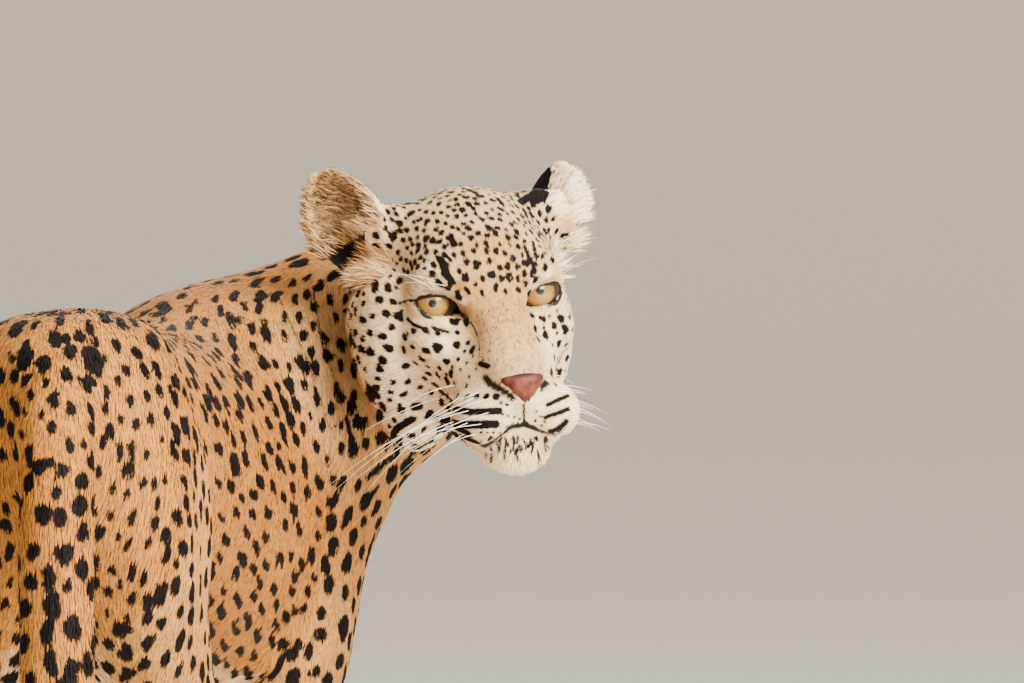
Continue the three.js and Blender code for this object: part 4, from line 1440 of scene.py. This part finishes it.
    def lean_spots(self) -> Array:
        """Work out which way the spots lie, and where and how far they are drawn out.

        Returns:
            How far they open into rings, from 0 to 1.
        """
        part = self.part
        on_head = among(part, Part.HEAD, Part.FACE)
        gaze = unit(VIEW.place() - self.points)
        facing = (self.normals * gaze).sum(axis=1)
        self.away = unit(gaze - facing[:, None] * self.normals)
        trunk_or_neck = among(part, Part.TRUNK, Part.NECK)
        most = self.most_drawn - self.less_on_top * step(0.5, 0.9, self.normals[:, 2])
        most = np.where(trunk_or_neck, most, self.drawn_elsewhere)
        most = np.where(part == Part.PAWS.value, 1.0, most)
        self.drawn = np.clip(0.8 / np.maximum(np.abs(facing), 0.05), 1.0, most)
        self.drawn[on_head] = 1.0
        flat = (self.ways * self.away).sum(axis=1, keepdims=True) * self.away
        own_way = unit(self.ways + flat * (1 / self.drawn[:, None] - 1))
        right, up, _ = VIEW.axes()
        slope = right * self.slope - up
        level = unit(np.cross(self.normals, self.away))
        seen_away = unit(self.away - (self.away * gaze).sum(axis=1, keepdims=True) * gaze)
        slanted = level * (level @ slope)[:, None] + self.away * (seen_away @ slope)[:, None]
        share = step(0.0, 0.1, facing) * step(0.75, 0.5, facing) * trunk_or_neck
        share = (share * step(0.85, 0.5, self.normals[:, 2]))[:, None]
        self.spot_ways = unit(own_way * (1 - share) + unit(slanted) * share)
        body_y = (self.points[:, 1] - STANCE.shift[1]) / MM
        rings = (part == Part.TRUNK.value) * step(-190, -90, body_y) * step(300, 200, body_y)
        return rings * step(0.9, 0.5, self.normals[:, 2]) * step(0.1, 0.0, facing)

    def spot(self) -> None:
        """Spot every part that the strokes leave plain."""
        head, part = self.head, self.part
        x, y, z = np.abs(head[:, 0]), head[:, 1], head[:, 2]
        on_head = among(part, Part.HEAD, Part.FACE)
        bridge = (y < -14) & (z < 3 - 0.15 * y) & (x < 22)
        muzzle = (y < -34) & (z < -28)
        plain = bridge | muzzle | (STANCE.eye_gap(head) < self.plain_round_eye)
        crown = on_head & (z > 8) & ~plain
        cheek = on_head & (z <= 8) & ~plain
        none = np.zeros(len(part))
        trunk = part == Part.TRUNK.value
        rings = self.lean_spots()
        legs = part == Part.LEGS.value
        high = legs & (self.points[:, 2] > 0.3)
        plans = (
            ("crown", crown, SpotRule(3.3, 2.1, 6.4, 5.1), none),
            ("cheek", cheek, SpotRule(3.7, 2.6, 9.0, 7.6), none),
            ("neck", part == Part.NECK.value, SpotRule(5.8, 3.1, 12.6, 8.4), none),
            ("trunk", trunk, SpotRule(5.9, 3.2, 12.4, 8.6), rings),
            ("thigh", high, SpotRule(6.8, 4.4, 14.2, 10.6), none),
            ("leg", legs & ~high, SpotRule(6.0, 4.0, 14.0, 11.0), none),
            ("paw", part == Part.PAWS.value, SpotRule(3.0, 2.1, 10.5, 9.0), none),
            ("tail", part == Part.TAIL.value, SpotRule(8.0, 5.0, 15.5, 11.0), none),
        )
        for number, (name, chosen, rule, ring) in enumerate(plans):
            laid = self.marks.scatter(self, np.flatnonzero(chosen), rule, ring, SEED + number)
            LOG.info("markings: %d spots on the %s", laid, name)

    def colours(self) -> dict:
        """How pale and how warm each vertex is, and where it is near black: hairless skin, and painted shade
        in the ear hollows and nostrils.
        """
        tones, part, head, normals = self.tones, self.part, self.head, self.normals
        x, y, z = np.abs(head[:, 0]), head[:, 1], head[:, 2]
        on_head = self.on_head & (part != Part.NECK.value)
        pale = np.where(on_head, tones.head_pale + tones.cheek_paler * step(6.0, -42.0, z), 0.0)
        warm = np.where(on_head, tones.head_warm, tones.body_warm)
        bridge = step(30.0, 16.0, x) * step(0.0, -20.0, y) * step(-60.0, -40.0, z)
        pale = pale * (1 - tones.bridge_less * bridge)
        under = step(-0.6, -1.0, normals[:, 2])
        pale = np.where(part == Part.TRUNK.value, tones.belly_pale * under, pale)
        pale = np.where(part == Part.NECK.value, tones.neck_pale + tones.under_neck * under, pale)
        throat = step(160.0, 105.0, np.linalg.norm(head - np.array((0, 60.0, -40.0)), axis=1))
        pale = np.where(on_head, pale, np.maximum(pale, tones.throat_pale * throat))
        middle = np.where(self.points[:, 0] > STANCE.shift[0] - 0.01, 1.0, -1.0)
        inward = step(0.1, 0.75, -normals[:, 0] * middle) * step(0.5, 0.3, self.points[:, 2])
        legs = among(part, Part.LEGS, Part.PAWS)
        pale = np.where(legs, tones.leg_pale + tones.inner_leg * inward, pale)
        warm = np.where(legs, tones.leg_warm, warm)
        warm = np.where(on_head, warm, warm - tones.throat_cooler * throat)
        tail_low = step(0.42, 0.2, self.points[:, 2])
        below = step(0.0, -0.8, normals[:, 1] * tail_low)
        pale = np.where(part == Part.TAIL.value, tones.under_tail * below, pale)
        ears = part == Part.EARS.value
        outer = step(0.1, 0.4, self.ear_back) * step(0.8, 0.95, self.ear_run)
        rim = step(0.5, 0.1, np.abs(self.ear_back)) * step(0.2, 0.5, self.ear_run)
        pale = np.where(ears, tones.ear_pale + tones.ear_rim * np.maximum(rim, outer), pale)
        warm = np.where(ears, tones.ear_warm, warm)
        light = self.marks.light.distance_mm(self.points)
        amber = self.marks.amber.distance_mm(self.points)
        pale = np.maximum(pale, step(2.5, -1.5, light) * tones.patch)
        warm = np.clip(warm + step(2.0, -1.5, amber) * tones.amber_warmer, 0, 1.2)
        pale = pale * (1 - step(2.0, -1.0, amber) * tones.amber_less_pale * on_head)
        # Near black under the lips and tear ducts, and the nostrils as painted shade.
        bare_and_shade = step(0.8, -0.6, self.marks.skin.distance_mm(self.points))
        bare_and_shade = np.maximum(bare_and_shade, step(*self.bare_round_eye, STANCE.eye_gap(head)))
        # The ears' hollows join the near black: painted shade.
        bare_and_shade = np.maximum(bare_and_shade, self.sort_ears())
        return {"pale": pale, "warm": warm, "bare_and_shade": bare_and_shade, "vary": np.full(len(part), 0.5)}

    def sort_ears(self) -> Array:
        """Find the left ear's white front and the ears' black backs.

        Returns:
            Which vertices are in the hollow of an ear, painted near black as its shade.
        """
        ears = self.part == Part.EARS.value
        left = self.head[:, 0] > 0
        hollow = self.head @ np.array(self.cavity_way) < self.cavity_at
        self.ear_front = ears & (self.head @ np.array(self.wedge_way) > self.wedge_at) & left
        behind = ears & (self.ear_run > 0.12) & (self.ear_run < 0.92) & ~self.ear_front
        self.black_ear = behind & (left | (self.ear_back > 0.25) & (self.ear_run < 0.86))
        # The ears' inner faces low down are painted near black: painted shade in their hollows.
        return ears & (self.ear_back < -0.12) & (self.ear_run < 0.5) & (hollow | left)


def keep_largest(made: bmesh.types.BMesh) -> None:
    """Keep only the largest connected sheet of a mesh."""
    unseen = set(made.verts)
    sheets = []
    while unseen:
        front = [unseen.pop()]
        sheet = list(front)
        while front:
            vertex = front.pop()
            for edge in vertex.link_edges:
                other = edge.other_vert(vertex)
                if other in unseen:
                    unseen.remove(other)
                    front.append(other)
                    sheet.append(other)
        sheets.append(sheet)
    sheets.sort(key=len)
    scraps = [v for sheet in sheets[:-1] for v in sheet]
    bmesh.ops.delete(made, geom=scraps, context="VERTS")


@dataclass
class Coat:
    """The coat: tufts over the whole skin, in pieces by part."""

    most: int = 48000
    follow: float = 0.65
    wander: float = 0.09
    near_black_limit: float = 0.6
    sole: float = 0.004

    # How much longer the hair of the ruff and of the chin is, and how many degrees more it lifts
    ruff: tuple = (1.5, 9.0)
    chin: tuple = (1.8, 12.0)

    def grow(self, skin: Skin) -> list[bpy.types.Object]:
        """Root tufts all over the skin and make the pieces.

        Args:
            skin: the dressed skin.

        Returns:
            The coat's pieces.
        """
        draw = np.random.default_rng(SEED)
        mesh = skin.object.data
        triangles = triangles_of(mesh)
        corners = skin.points[triangles]
        sides = corners[:, 1:] - corners[:, :1]
        areas = np.linalg.norm(np.cross(sides[:, 0], sides[:, 1]), axis=1) / 2
        part = skin.part[triangles[:, 0]]
        rules = [COATS[Part(p)] for p in range(len(Part))]
        density = np.array([2 * r.layers / (r.length * r.width * MM * MM) for r in rules])[part]
        wanted = areas * density
        wanted = wanted * (skin.numbers["bare_and_shade"][triangles].max(axis=1) < self.near_black_limit)
        sole = corners[:, :, 2].max(axis=1) < self.sole
        counts = np.floor(wanted * ~sole + draw.random(len(wanted))).astype(int)
        owner = np.repeat(np.arange(len(triangles)), counts)
        shares = draw.dirichlet((1.0, 1.0, 1.0), len(owner))
        chosen = triangles[owner]

        def spread(values: Array) -> Array:
            """Values of the vertices, at the roots."""
            own = values[chosen]
            return (own * (shares if own.ndim == 2 else shares[..., None])).sum(axis=1)

        roots = spread(skin.points)
        normals = unit(spread(skin.normals))
        ways = spread(skin.ways)
        across = np.cross(ways, normals)
        ways = ways + across * draw.normal(0, self.wander, len(owner))[:, None]
        ways = unit(ways - (ways * normals).sum(axis=1, keepdims=True) * normals)
        part = part[owner]

        def ruled(name: str) -> Array:
            """One of the coat rules' sizes, at the roots."""
            return np.array([getattr(r, name) for r in rules])[part]

        own = STANCE.to_head(roots)
        near_head = among(part, Part.HEAD, Part.FACE)
        ruff = near_head * step(28.0, 66.0, own[:, 1]) * step(14.0, -14.0, own[:, 2])
        chin = near_head * step(-88.0, -98.0, own[:, 2]) * step(-20.0, -50.0, own[:, 1])
        longer = 1 + self.ruff[0] * ruff + self.chin[0] * chin
        lengths = ruled("length") * longer * draw.uniform(0.75, 1.25, len(owner)) * MM
        widths = ruled("width") * draw.uniform(0.8, 1.2, len(owner)) * MM
        lifted = ruled("lift") + self.ruff[1] * ruff + self.chin[1] * chin
        lifts = np.radians(lifted * draw.uniform(0.5, 1.6, len(owner)))
        reach = (ways * lengths[:, None])[:, None] * (Blade().stations() * self.follow)[None, :, None]
        mark = skin.mark_at((roots[:, None] + reach).reshape(-1, 3)).reshape(len(owner), -1)
        numbers = {
            "mark": np.where(skin.black_ear[chosen[:, 0]][:, None], skin.always_dark, mark),
            "pale": spread(skin.numbers["pale"]),
            "warm": spread(skin.numbers["warm"]),
            "bare_and_shade": np.zeros(len(owner)),
            "vary": draw.random(len(owner)),
        }
        places, group = self.unwrapped(skin, roots, part, chosen[:, 0])
        tufts = Tufts(roots, normals, ways, lengths, widths, lifts, numbers, places)
        return self.cut_up(tufts, group)

    def cut_up(self, tufts: Tufts, group: Array) -> list[bpy.types.Object]:
        """Make the pieces, each of no more tufts than a piece may hold."""
        finish = CoatFinish().material("coat", True)
        pieces = []
        for number, name in enumerate(self.names()):
            own = np.flatnonzero(group == number)
            parts = max(1, math.ceil(len(own) / self.most))
            for k in range(parts):
                chosen_tufts = own[k::parts]
                if len(chosen_tufts):
                    label = f"coat_{name}_{k + 1}" if parts > 1 else f"coat_{name}"
                    pieces.append(tufts.picked(chosen_tufts).build(label, finish))
                    LOG.info("coat: %s has %d tufts", label, len(chosen_tufts))
        return pieces

    def names(self) -> list[str]:
        """The coat's pieces: the head's, then one for each line through the body."""
        return ["head", "ears", "back", "neck", "tail", "fore_left", "fore_right", "hind_left", "hind_right"]

    def unwrapped(self, skin: Skin, roots: Array, part: Array, vertices: Array) -> tuple[Array, Array]:
        """Unroll each part round its own line, and sort the roots into pieces.

        Args:
            skin: the skin that they are on.
            roots: the roots' places.
            part: the number of each one's part.
            vertices: a vertex of the skin beside each root.

        Returns:
            The roots' places on the map, from 0 to 1, and the number of each one's piece.
        """
        places = np.zeros((len(roots), 2))
        group = np.zeros(len(roots), int)
        head = STANCE.to_head(roots)
        on_head = among(part, Part.HEAD, Part.FACE)
        around = np.arctan2(head[:, 0], head[:, 2] + 20)
        places[:, 0] = around / math.tau + 0.5
        places[:, 1] = head[:, 1]
        ears = part == Part.EARS.value
        group[ears] = 1
        back = skin.ear_back[vertices] > 0
        strip = np.where(head[ears, 0] > 0, 0.5, 0.0) + back[ears] * 0.25
        places[ears, 0] = (head[ears, 1] - 40) / 60 * 0.25 + strip
        places[ears, 1] = head[ears, 2]
        _, _, along, which = ANATOMY.sorted(roots)
        for number, axis in enumerate(ANATOMY.axes):
            own = (which == number) & ~on_head & ~ears
            group[own] = number + 2
            foot = roots[own] - axis.at(along[own])
            way = axis.way_at(along[own])
            side = unit(np.cross(way, np.array((0.31, 0.22, 0.92))))
            top = np.cross(side, way)
            angle = np.arctan2((foot * side).sum(axis=1), (foot * top).sum(axis=1))
            places[own, 0] = angle / math.tau + 0.5
            places[own, 1] = along[own]
        for number in range(len(self.names())):
            own = group == number
            if own.any():
                low, high = places[own, 1].min(), places[own, 1].max()
                places[own, 1] = (places[own, 1] - low) / (high - low)
        return np.clip(places, 0, 1) * 0.99 + 0.005, group


@dataclass
class Eyes:
    """Both eyeballs with their wet cornea, and the black rims of their lids."""

    radius_mm: float = 16.3
    bulge_mm: float = 1.5
    irises: tuple = (("eye_right", -1, (432.5, 303.5)), ("eye_left", 1, (540, 291)))
    rim_mm: float = 1.45
    lower_out: float = 1.7
    rim_out: float = 1.3

    # The opening between the lids, seen from the front: out from the nose, and up, in mm
    upper: tuple = ((-17.5, -8.5), (-12.0, 0.5), (-5.0, 6.5), (3.0, 8.0), (10.0, 6.6), (17.5, 3.0))
    lower: tuple = ((14.0, -3.5), (8.5, -8.6), (1.0, -10.4), (-7.0, -9.8), (-13.0, -9.2))

    def build(self) -> list[bpy.types.Object]:
        """Make the eyes and the rims."""
        finish = EyeFinish()
        material = finish.material()
        rim_finish = LID_SKIN.material()
        pieces = []
        for name, side, pixel in self.irises:
            ball = self.ball(name, side, pixel, finish.iris_mm)
            ball.data.materials.append(material)
            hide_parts(name)
            rim = self.rim(name, side)
            rim.data.materials.append(rim_finish)
            pieces += [ball, rim]
        return pieces

    def ball(self, name: str, side: int, pixel: tuple, iris_mm: float) -> bpy.types.Object:
        """One eyeball that looks where the photograph's does."""
        middle = Vector(STANCE.from_head(STANCE.eye(side)))
        start, way = VIEW.ray(pixel)
        gap = start - middle
        half = gap.dot(way)
        reach = math.sqrt(max(half ** 2 - gap.length_squared + (self.radius_mm * MM) ** 2, 0.0))
        gaze = (start + way * (-half - reach) - middle).normalized()
        made = bmesh.new()
        bmesh.ops.create_uvsphere(made, u_segments=48, v_segments=36, radius=self.radius_mm * MM)
        right, up, _ = VIEW.axes()
        turned = gaze.to_track_quat("Z", "Y").to_matrix()
        gazes = []
        for vertex in made.verts:
            angle = vertex.co.angle(Vector((0, 0, 1)))
            swell = self.bulge_mm * MM * (1 - step(0.0, iris_mm / self.radius_mm, np.array(angle)))
            vertex.co = vertex.co * (1 + float(swell) / (self.radius_mm * MM))
            vertex.co = turned @ vertex.co
            aside = Vector((vertex.co.dot(Vector(right)), 0, vertex.co.dot(Vector(up))))
            gazes.append(aside.normalized() * angle * self.radius_mm if aside.length > 1e-7 else aside)
            vertex.co += middle
        mesh = modelled(made, f"{name}_ball")
        store(mesh, "gaze", np.array(gazes))
        return linked(f"{name}_ball", mesh)

    def opening(self, side: int, radius_mm: float) -> Array:
        """The edge of the lids, on a ball of that radius, in the head's millimetres."""
        flat = np.array((*self.upper, *self.lower))
        deep = np.sqrt(np.maximum(radius_mm ** 2 - (flat ** 2).sum(axis=1), 0.0))
        return STANCE.eye(side) + np.stack([side * flat[:, 0], -deep, flat[:, 1]], axis=1)

    def rim(self, name: str, side: int) -> bpy.types.Object:
        """The black rim of one eye's lids, as a soft closed tube."""
        points = self.opening(side, self.radius_mm + self.rim_out)
        points[len(self.upper):, 1] -= self.lower_out
        points = STANCE.from_head(points)
        return tube(f"{name}_rim", [points], [np.full(len(points), 1.0)], self.rim_mm * MM, True)


def tube(name: str, lines: list, thick: list, half: float, closed: bool = False) -> bpy.types.Object:
    """Round tubes along smooth lines, as one mesh.

    Args:
        name: the piece's name.
        lines: the points of each line.
        thick: for each line, how thick each point is beside half.
        half: the half thickness, in metres.
        closed: whether each line ends where it starts.

    Returns:
        The piece.
    """
    curve = bpy.data.curves.new(name, "CURVE")
    curve.dimensions = "3D"
    curve.bevel_depth = half
    curve.bevel_resolution = 1
    curve.use_fill_caps = True
    curve.resolution_u = 5
    for points, sizes in zip(lines, thick):
        spline = curve.splines.new("NURBS")
        spline.points.add(len(points) - 1)
        spline.order_u = 4
        spline.use_endpoint_u = not closed
        spline.use_cyclic_u = closed
        for knot, point, size in zip(spline.points, points, sizes):
            knot.co = (*point, 1.0)
            knot.radius = size
    rough = bpy.data.objects.new(name, curve)
    bpy.context.scene.collection.objects.link(rough)
    return linked(name, evaluated(rough, name))


@dataclass
class Nose:
    """The nose leather on the end of the muzzle: a shield that narrows to the lip."""

    middle_mm: tuple = (0.0, -89.5, -50.5)
    top_half: float = 17.0
    low_half: float = 3.6
    half_height: float = 13.5
    deep: float = 8.5
    lean: float = -3.0
    square_up: float = 0.72
    square_across: float = 0.85
    wing_deep: float = 5.0
    wing_up: float = 1.5

    # The groove in the middle and the fold of a nostril, each with its width and depth
    cleft: tuple = ((0, -99, -50), (0, -99.5, -58), (0, -97, -66))
    cleft_press: tuple = (1.2, 2.2)
    fold: tuple = ((15, -89, -50), (11, -95, -54), (7, -97, -60))
    fold_press: tuple = (2.2, 3.0)

    def build(self) -> bpy.types.Object:
        """Make the leather with its cleft and the fold of each nostril."""
        made = bmesh.new()
        bmesh.ops.create_uvsphere(made, u_segments=72, v_segments=48, radius=1.0)
        bmesh.ops.rotate(made, verts=made.verts, cent=(0, 0, 0), matrix=Matrix.Rotation(math.pi / 2, 3, "X"))
        mesh = modelled(made, "nose_leather")
        x, y, z = points_of(mesh).T
        up = np.sign(z) * np.abs(z) ** self.square_up
        wide = self.low_half + (self.top_half - self.low_half) * step(-0.85, 0.75, up)
        wing = step(0.35, 0.95, np.abs(x)) * step(-0.4, 0.8, up)
        shaped = np.stack([
            np.sign(x) * np.abs(x) ** self.square_across * wide,
            y * self.deep * (1 - 0.25 * x ** 2) + self.lean * up + self.wing_deep * wing,
            up * self.half_height + self.wing_up * wing,
        ], axis=1) + np.array(self.middle_mm)
        clay = Clay(shaped, unit(np.stack([x, y * 1.6, z], axis=1)))
        clay.crease(np.array(self.cleft, float), *self.cleft_press)
        for side in (-1.0, 1.0):
            clay.crease(np.array(self.fold) * np.array((side, 1, 1)), *self.fold_press)
        across = np.abs(clay.points[:, 0]) / wide
        edge = step(0.66, 0.94, across) + step(-0.55, -1.0, up) + step(0.8, 1.0, up) * 0.8
        edge = np.clip(edge + step(-0.2, 0.1, y), 0, 1)
        moved_to(mesh, STANCE.from_head(clay.points))
        store(mesh, "edge", edge)
        leather = linked("nose_leather", mesh)
        leather.data.materials.append(LeatherFinish().material())
        return leather


@dataclass
class Whiskers:
    """Long tapered whiskers in rows on both pads, and longer hairs on the brows."""

    half: float = 0.00024
    white_share: float = 0.86
    far_side: float = 25.0
    brow_length: float = 34.0
    brow_lift: float = 0.75
    rows: tuple = (
        ((455, 385), (480, 392), 2, 50.0), ((446, 396), (492, 398), 4, 85.0),
        ((448, 409), (490, 412), 5, 100.0), ((440, 420), (482, 424), 4, 95.0),
        ((452, 434), (476, 434), 3, 60.0),
    )
    brows: tuple = ((438, 282), (446, 286), (430, 287))

    def build(self, marks: Markings) -> list[bpy.types.Object]:
        """Grow them out of the pads."""
        draw = np.random.default_rng(SEED + 50)
        lines, thick, dark_lines, dark_thick = [], [], [], []
        for start, end, count, length in self.rows:
            for share in np.linspace(0, 1, count):
                root = marks.found(between(start, end, share))
                if root is None:
                    continue
                own = STANCE.to_head(root)
                for side in (-1, 1):
                    reach = length * draw.uniform(0.6, 1.1) * (1 - 0.35 * share)
                    reach = min(reach, self.far_side * draw.uniform(0.6, 1.0)) if side > 0 else reach
                    line = self.one(own * np.array((-side, 1.0, 1.0)), side, reach, draw)
                    if draw.random() < self.white_share:
                        lines.append(line)
                        thick.append(np.linspace(1.0, 0.12, len(line)))
                    else:
                        dark_lines.append(line)
                        dark_thick.append(np.linspace(0.8, 0.12, len(line)))
        for pixel in self.brows:
            root = STANCE.to_head(marks.found(pixel))
            for side in (-1, 1):
                own = root * np.array((-side, 1.0, 1.0))
                line = self.one(own, side, self.brow_length, draw, self.brow_lift)
                lines.append(line)
                thick.append(np.linspace(0.7, 0.1, len(line)))
        pale = tube("whiskers", lines, thick, self.half)
        pale.data.materials.append(WHISKER.material())
        dark = tube("whiskers_dark", dark_lines, dark_thick, self.half)
        dark.data.materials.append(DARK_HAIR.material())
        return [pale, dark]

    def one(self, root: Array, side: int, length: float, draw: object, lift: float = 0.0) -> Array:
        """One whisker's line, from a root in the head's millimetres."""
        spread = (side * draw.uniform(0.8, 1.0), draw.uniform(-0.35, 0.1), draw.uniform(-0.4, 0.02) + lift)
        way = unit(np.array(spread))
        sag = np.array((0.0, 0.55, -0.9)) * draw.uniform(0.14, 0.36)
        share = np.linspace(-0.04, 1, 7)[:, None]
        bent = root + way * share * length + sag * share ** 2 * length
        return STANCE.from_head(bent)


@dataclass
class Claws:
    """Sheathed claws, of which only the tips stand out of the toes' hair."""

    paws: tuple = ("fore_left", "fore_right", "hind_left", "hind_right")
    toes: tuple = (0.2, 0.4, 0.6, 0.8)
    height: float = 0.012
    length: float = 0.010
    sunk: float = 0.005
    hook: float = 0.004
    half: float = 0.0015
    before_paw: float = 0.05
    stations: tuple = (0.0, 0.3, 0.6, 0.85, 1.0)
    thick: tuple = (1.0, 1.0, 0.8, 0.5, 0.1)

    def build(self, surface: BVHTree) -> bpy.types.Object:
        """Set four on the front of each paw."""
        shares = np.array(self.stations)
        lines = []
        for paw in self.paws:
            low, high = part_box(f"{paw}_paw")
            for toe in self.toes:
                x = low[0] + toe * (high[0] - low[0])
                start = Vector((x, low[1] - self.before_paw, self.height))
                root = surface.ray_cast(start, Vector((0, 1, 0)))[0]
                if root is not None:
                    ahead = self.sunk - self.length * shares
                    bent = np.stack([shares * 0, ahead, -self.hook * shares ** 2], axis=1)
                    lines.append(np.array(root) + bent)
        claws = tube("claws", lines, [self.thick] * len(lines), self.half)
        claws.data.materials.append(CLAW_HORN.material())
        return claws


@dataclass
class EarHair:
    """The long soft hair inside the ears and along their front rims."""

    most: int = 3000
    fluff: int = 1300
    front: tuple = (0.0, -13.0, -2.0)
    front_reach: float = 15.0
    run_from: float = 0.3
    run_to: float = 0.92
    warm: float = 0.35
    half_dark: float = -0.1
    plain: float = 4.0
    leans: dict = field(default_factory=lambda: {"left": (0.85, 0.3, -0.1), "right": (-0.8, 0.45, 0.1)})

    def build(self, skin: Skin) -> list[bpy.types.Object]:
        """Root it on the inner face of each ear."""
        draw = np.random.default_rng(SEED + 70)
        finish = CoatFinish().material("ear_hair", True)
        pieces = []
        for side, (base, tip, opening) in zip(("left", "right"), skin.ears):
            shown_inside = side == "right"
            near = (skin.part == Part.EARS.value) & (skin.head[:, 0] * base[0] > 0)
            near &= (skin.ear_run > self.run_from) & (skin.ear_run < self.run_to)
            inner = np.flatnonzero(near & ((skin.ear_back < -0.1) if shown_inside else skin.ear_front))
            front = np.linalg.norm(skin.head - np.array(base) - np.array(self.front), axis=1)
            front = np.flatnonzero(skin.on_head & (front < self.front_reach))
            chosen = np.concatenate([draw.choice(inner, self.most), draw.choice(front, self.fluff)])
            in_front = np.arange(len(chosen)) >= self.most
            roots = skin.points[chosen] + draw.normal(0, 0.0008, (len(chosen), 3))
            up = unit(np.array(tip, float) - np.array(base, float))
            out = unit(np.array(opening, float))
            count = len(chosen)
            way = up * 0.6 + out * 0.1 + np.array(self.leans[side])
            ways = unit(way + draw.normal(0, 0.22, (count, 3))) @ STANCE.turned.T
            normals = skin.normals[chosen]
            ways = unit(ways - (ways * normals).sum(axis=1, keepdims=True) * normals * 0.75)
            normals = unit(normals - (ways * normals).sum(axis=1, keepdims=True) * ways)
            # Inside the shown ear more hairs are dark towards its middle: partly the hairs' own mix, partly
            # painted shade deep in the hollow.
            middle = step(0.3, 0.5, skin.ear_run[chosen]) * step(0.3, -0.3, skin.ear_back[chosen] + 0.3)
            share = (0.26 + 0.4 * middle) if shown_inside else np.full(count, 0.08)
            dark = draw.random(count) < np.where(in_front, 0.05, share)
            numbers = {
                "mark": np.where(dark, self.half_dark, self.plain),
                "pale": draw.uniform(0.0, 0.55, count) if shown_inside else np.full(count, 0.9),
                "warm": np.full(count, self.warm),
                "bare_and_shade": np.zeros(count),
                "vary": draw.random(count),
            }
            head = skin.head[chosen]
            places = np.stack([(head[:, 1] - 30) / 90, (head[:, 2] + 10) / 110], axis=1)
            tufts = Tufts(
                roots, normals, ways, draw.uniform(10, 20, count) * (1.2 - skin.ear_run[chosen]) * MM,
                draw.uniform(0.45, 0.8, count) * MM,
                np.radians(draw.uniform(4, 18, count)), numbers, np.clip(places, 0.01, 0.99),
                2.0, Blade(rows=4), 0.6,
            )
            pieces.append(tufts.build(f"ear_hair_{side}", finish))
        return pieces


@dataclass
class Studio:
    """A plain pale floor, soft lights and the photograph's camera."""

    floor_colour: Colour = srgb(243, 236, 224)
    floor_size: float = 30.0
    sky: float = 0.9
    lamp_colour: Colour = (1.0, 0.98, 0.94)
    aim: tuple = (0.0, 0.0, 0.45)

    # Each lamp's name, place, size in metres and watts
    lamps: tuple = (
        ("key", (-2.0, 2.2, 2.5), 2.0, 660.0),
        ("fill", (2.6, 2.6, 1.2), 2.4, 30.0),
        ("back", (0.4, -3.0, 2.6), 2.2, 110.0),
    )

    def build(self) -> None:
        """Make the floor, the lights and the camera."""
        made = bmesh.new()
        bmesh.ops.create_grid(made, x_segments=1, y_segments=1, size=self.floor_size)
        far = [e for e in made.edges if all(v.co.y < 0 for v in e.verts)]
        raised = bmesh.ops.extrude_edge_only(made, edges=far)["geom"]
        bmesh.ops.translate(
            made, verts=[g for g in raised if isinstance(g, bmesh.types.BMVert)], vec=(0, 0, self.floor_size)
        )
        corner = [e for e in made.edges if len(e.link_faces) == 2]
        bmesh.ops.bevel(
            made, geom=corner, offset=self.floor_size * 0.5, segments=24, profile=0.5,
            affect="EDGES", material=-1,
        )
        bmesh.ops.recalc_face_normals(made, faces=made.faces)
        floor = linked("floor", modelled(made, "floor"))
        floor.data.materials.append(
            PlainFinish("floor", self.floor_colour, self.floor_colour, 0.9, 3.0, 0.0001).material()
        )
        world = bpy.data.worlds.new("studio")
        bpy.context.scene.world = world
        world.use_nodes = True
        sky = world.node_tree.nodes["Background"]
        sky.inputs["Color"].default_value = (*self.floor_colour, 1.0)
        sky.inputs["Strength"].default_value = self.sky
        for lamp in self.lamps:
            self.lamp(*lamp)
        VIEW.camera()

    def lamp(self, name: str, place: tuple, size: float, watts: float) -> None:
        """One soft square light that looks at the body's middle."""
        data = bpy.data.lights.new(name, "AREA")
        data.size = size
        data.energy = watts
        data.color = self.lamp_colour
        made = bpy.data.objects.new(name, data)
        bpy.context.scene.collection.objects.link(made)
        aim = Vector(self.aim) - Vector(place)
        made.location = place
        made.rotation_euler = aim.to_track_quat("-Z", "Y").to_euler()


def main() -> None:
    """Build the leopard, piece by piece."""
    logging.basicConfig(level=logging.INFO, format="%(message)s")
    ANATOMY.prepare()
    skin = Skin()
    skin.build()
    skin.dress()
    LOG.info("skin: %d vertices, %d faces", len(skin.object.data.vertices), len(skin.object.data.polygons))
    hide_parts(*[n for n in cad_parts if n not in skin.apart])
    pieces = [skin.object, *Eyes().build(), Nose().build(), *Whiskers().build(skin.marks)]
    pieces.append(Claws().build(skin.marks.surface))
    hair = [*Coat().grow(skin), *EarHair().build(skin)]
    for piece in pieces + hair:
        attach(piece, "root")
        LOG.info("%s: %d faces", piece.name, len(piece.data.polygons))
    Studio().build()


if __name__ == "__main__":
    main()
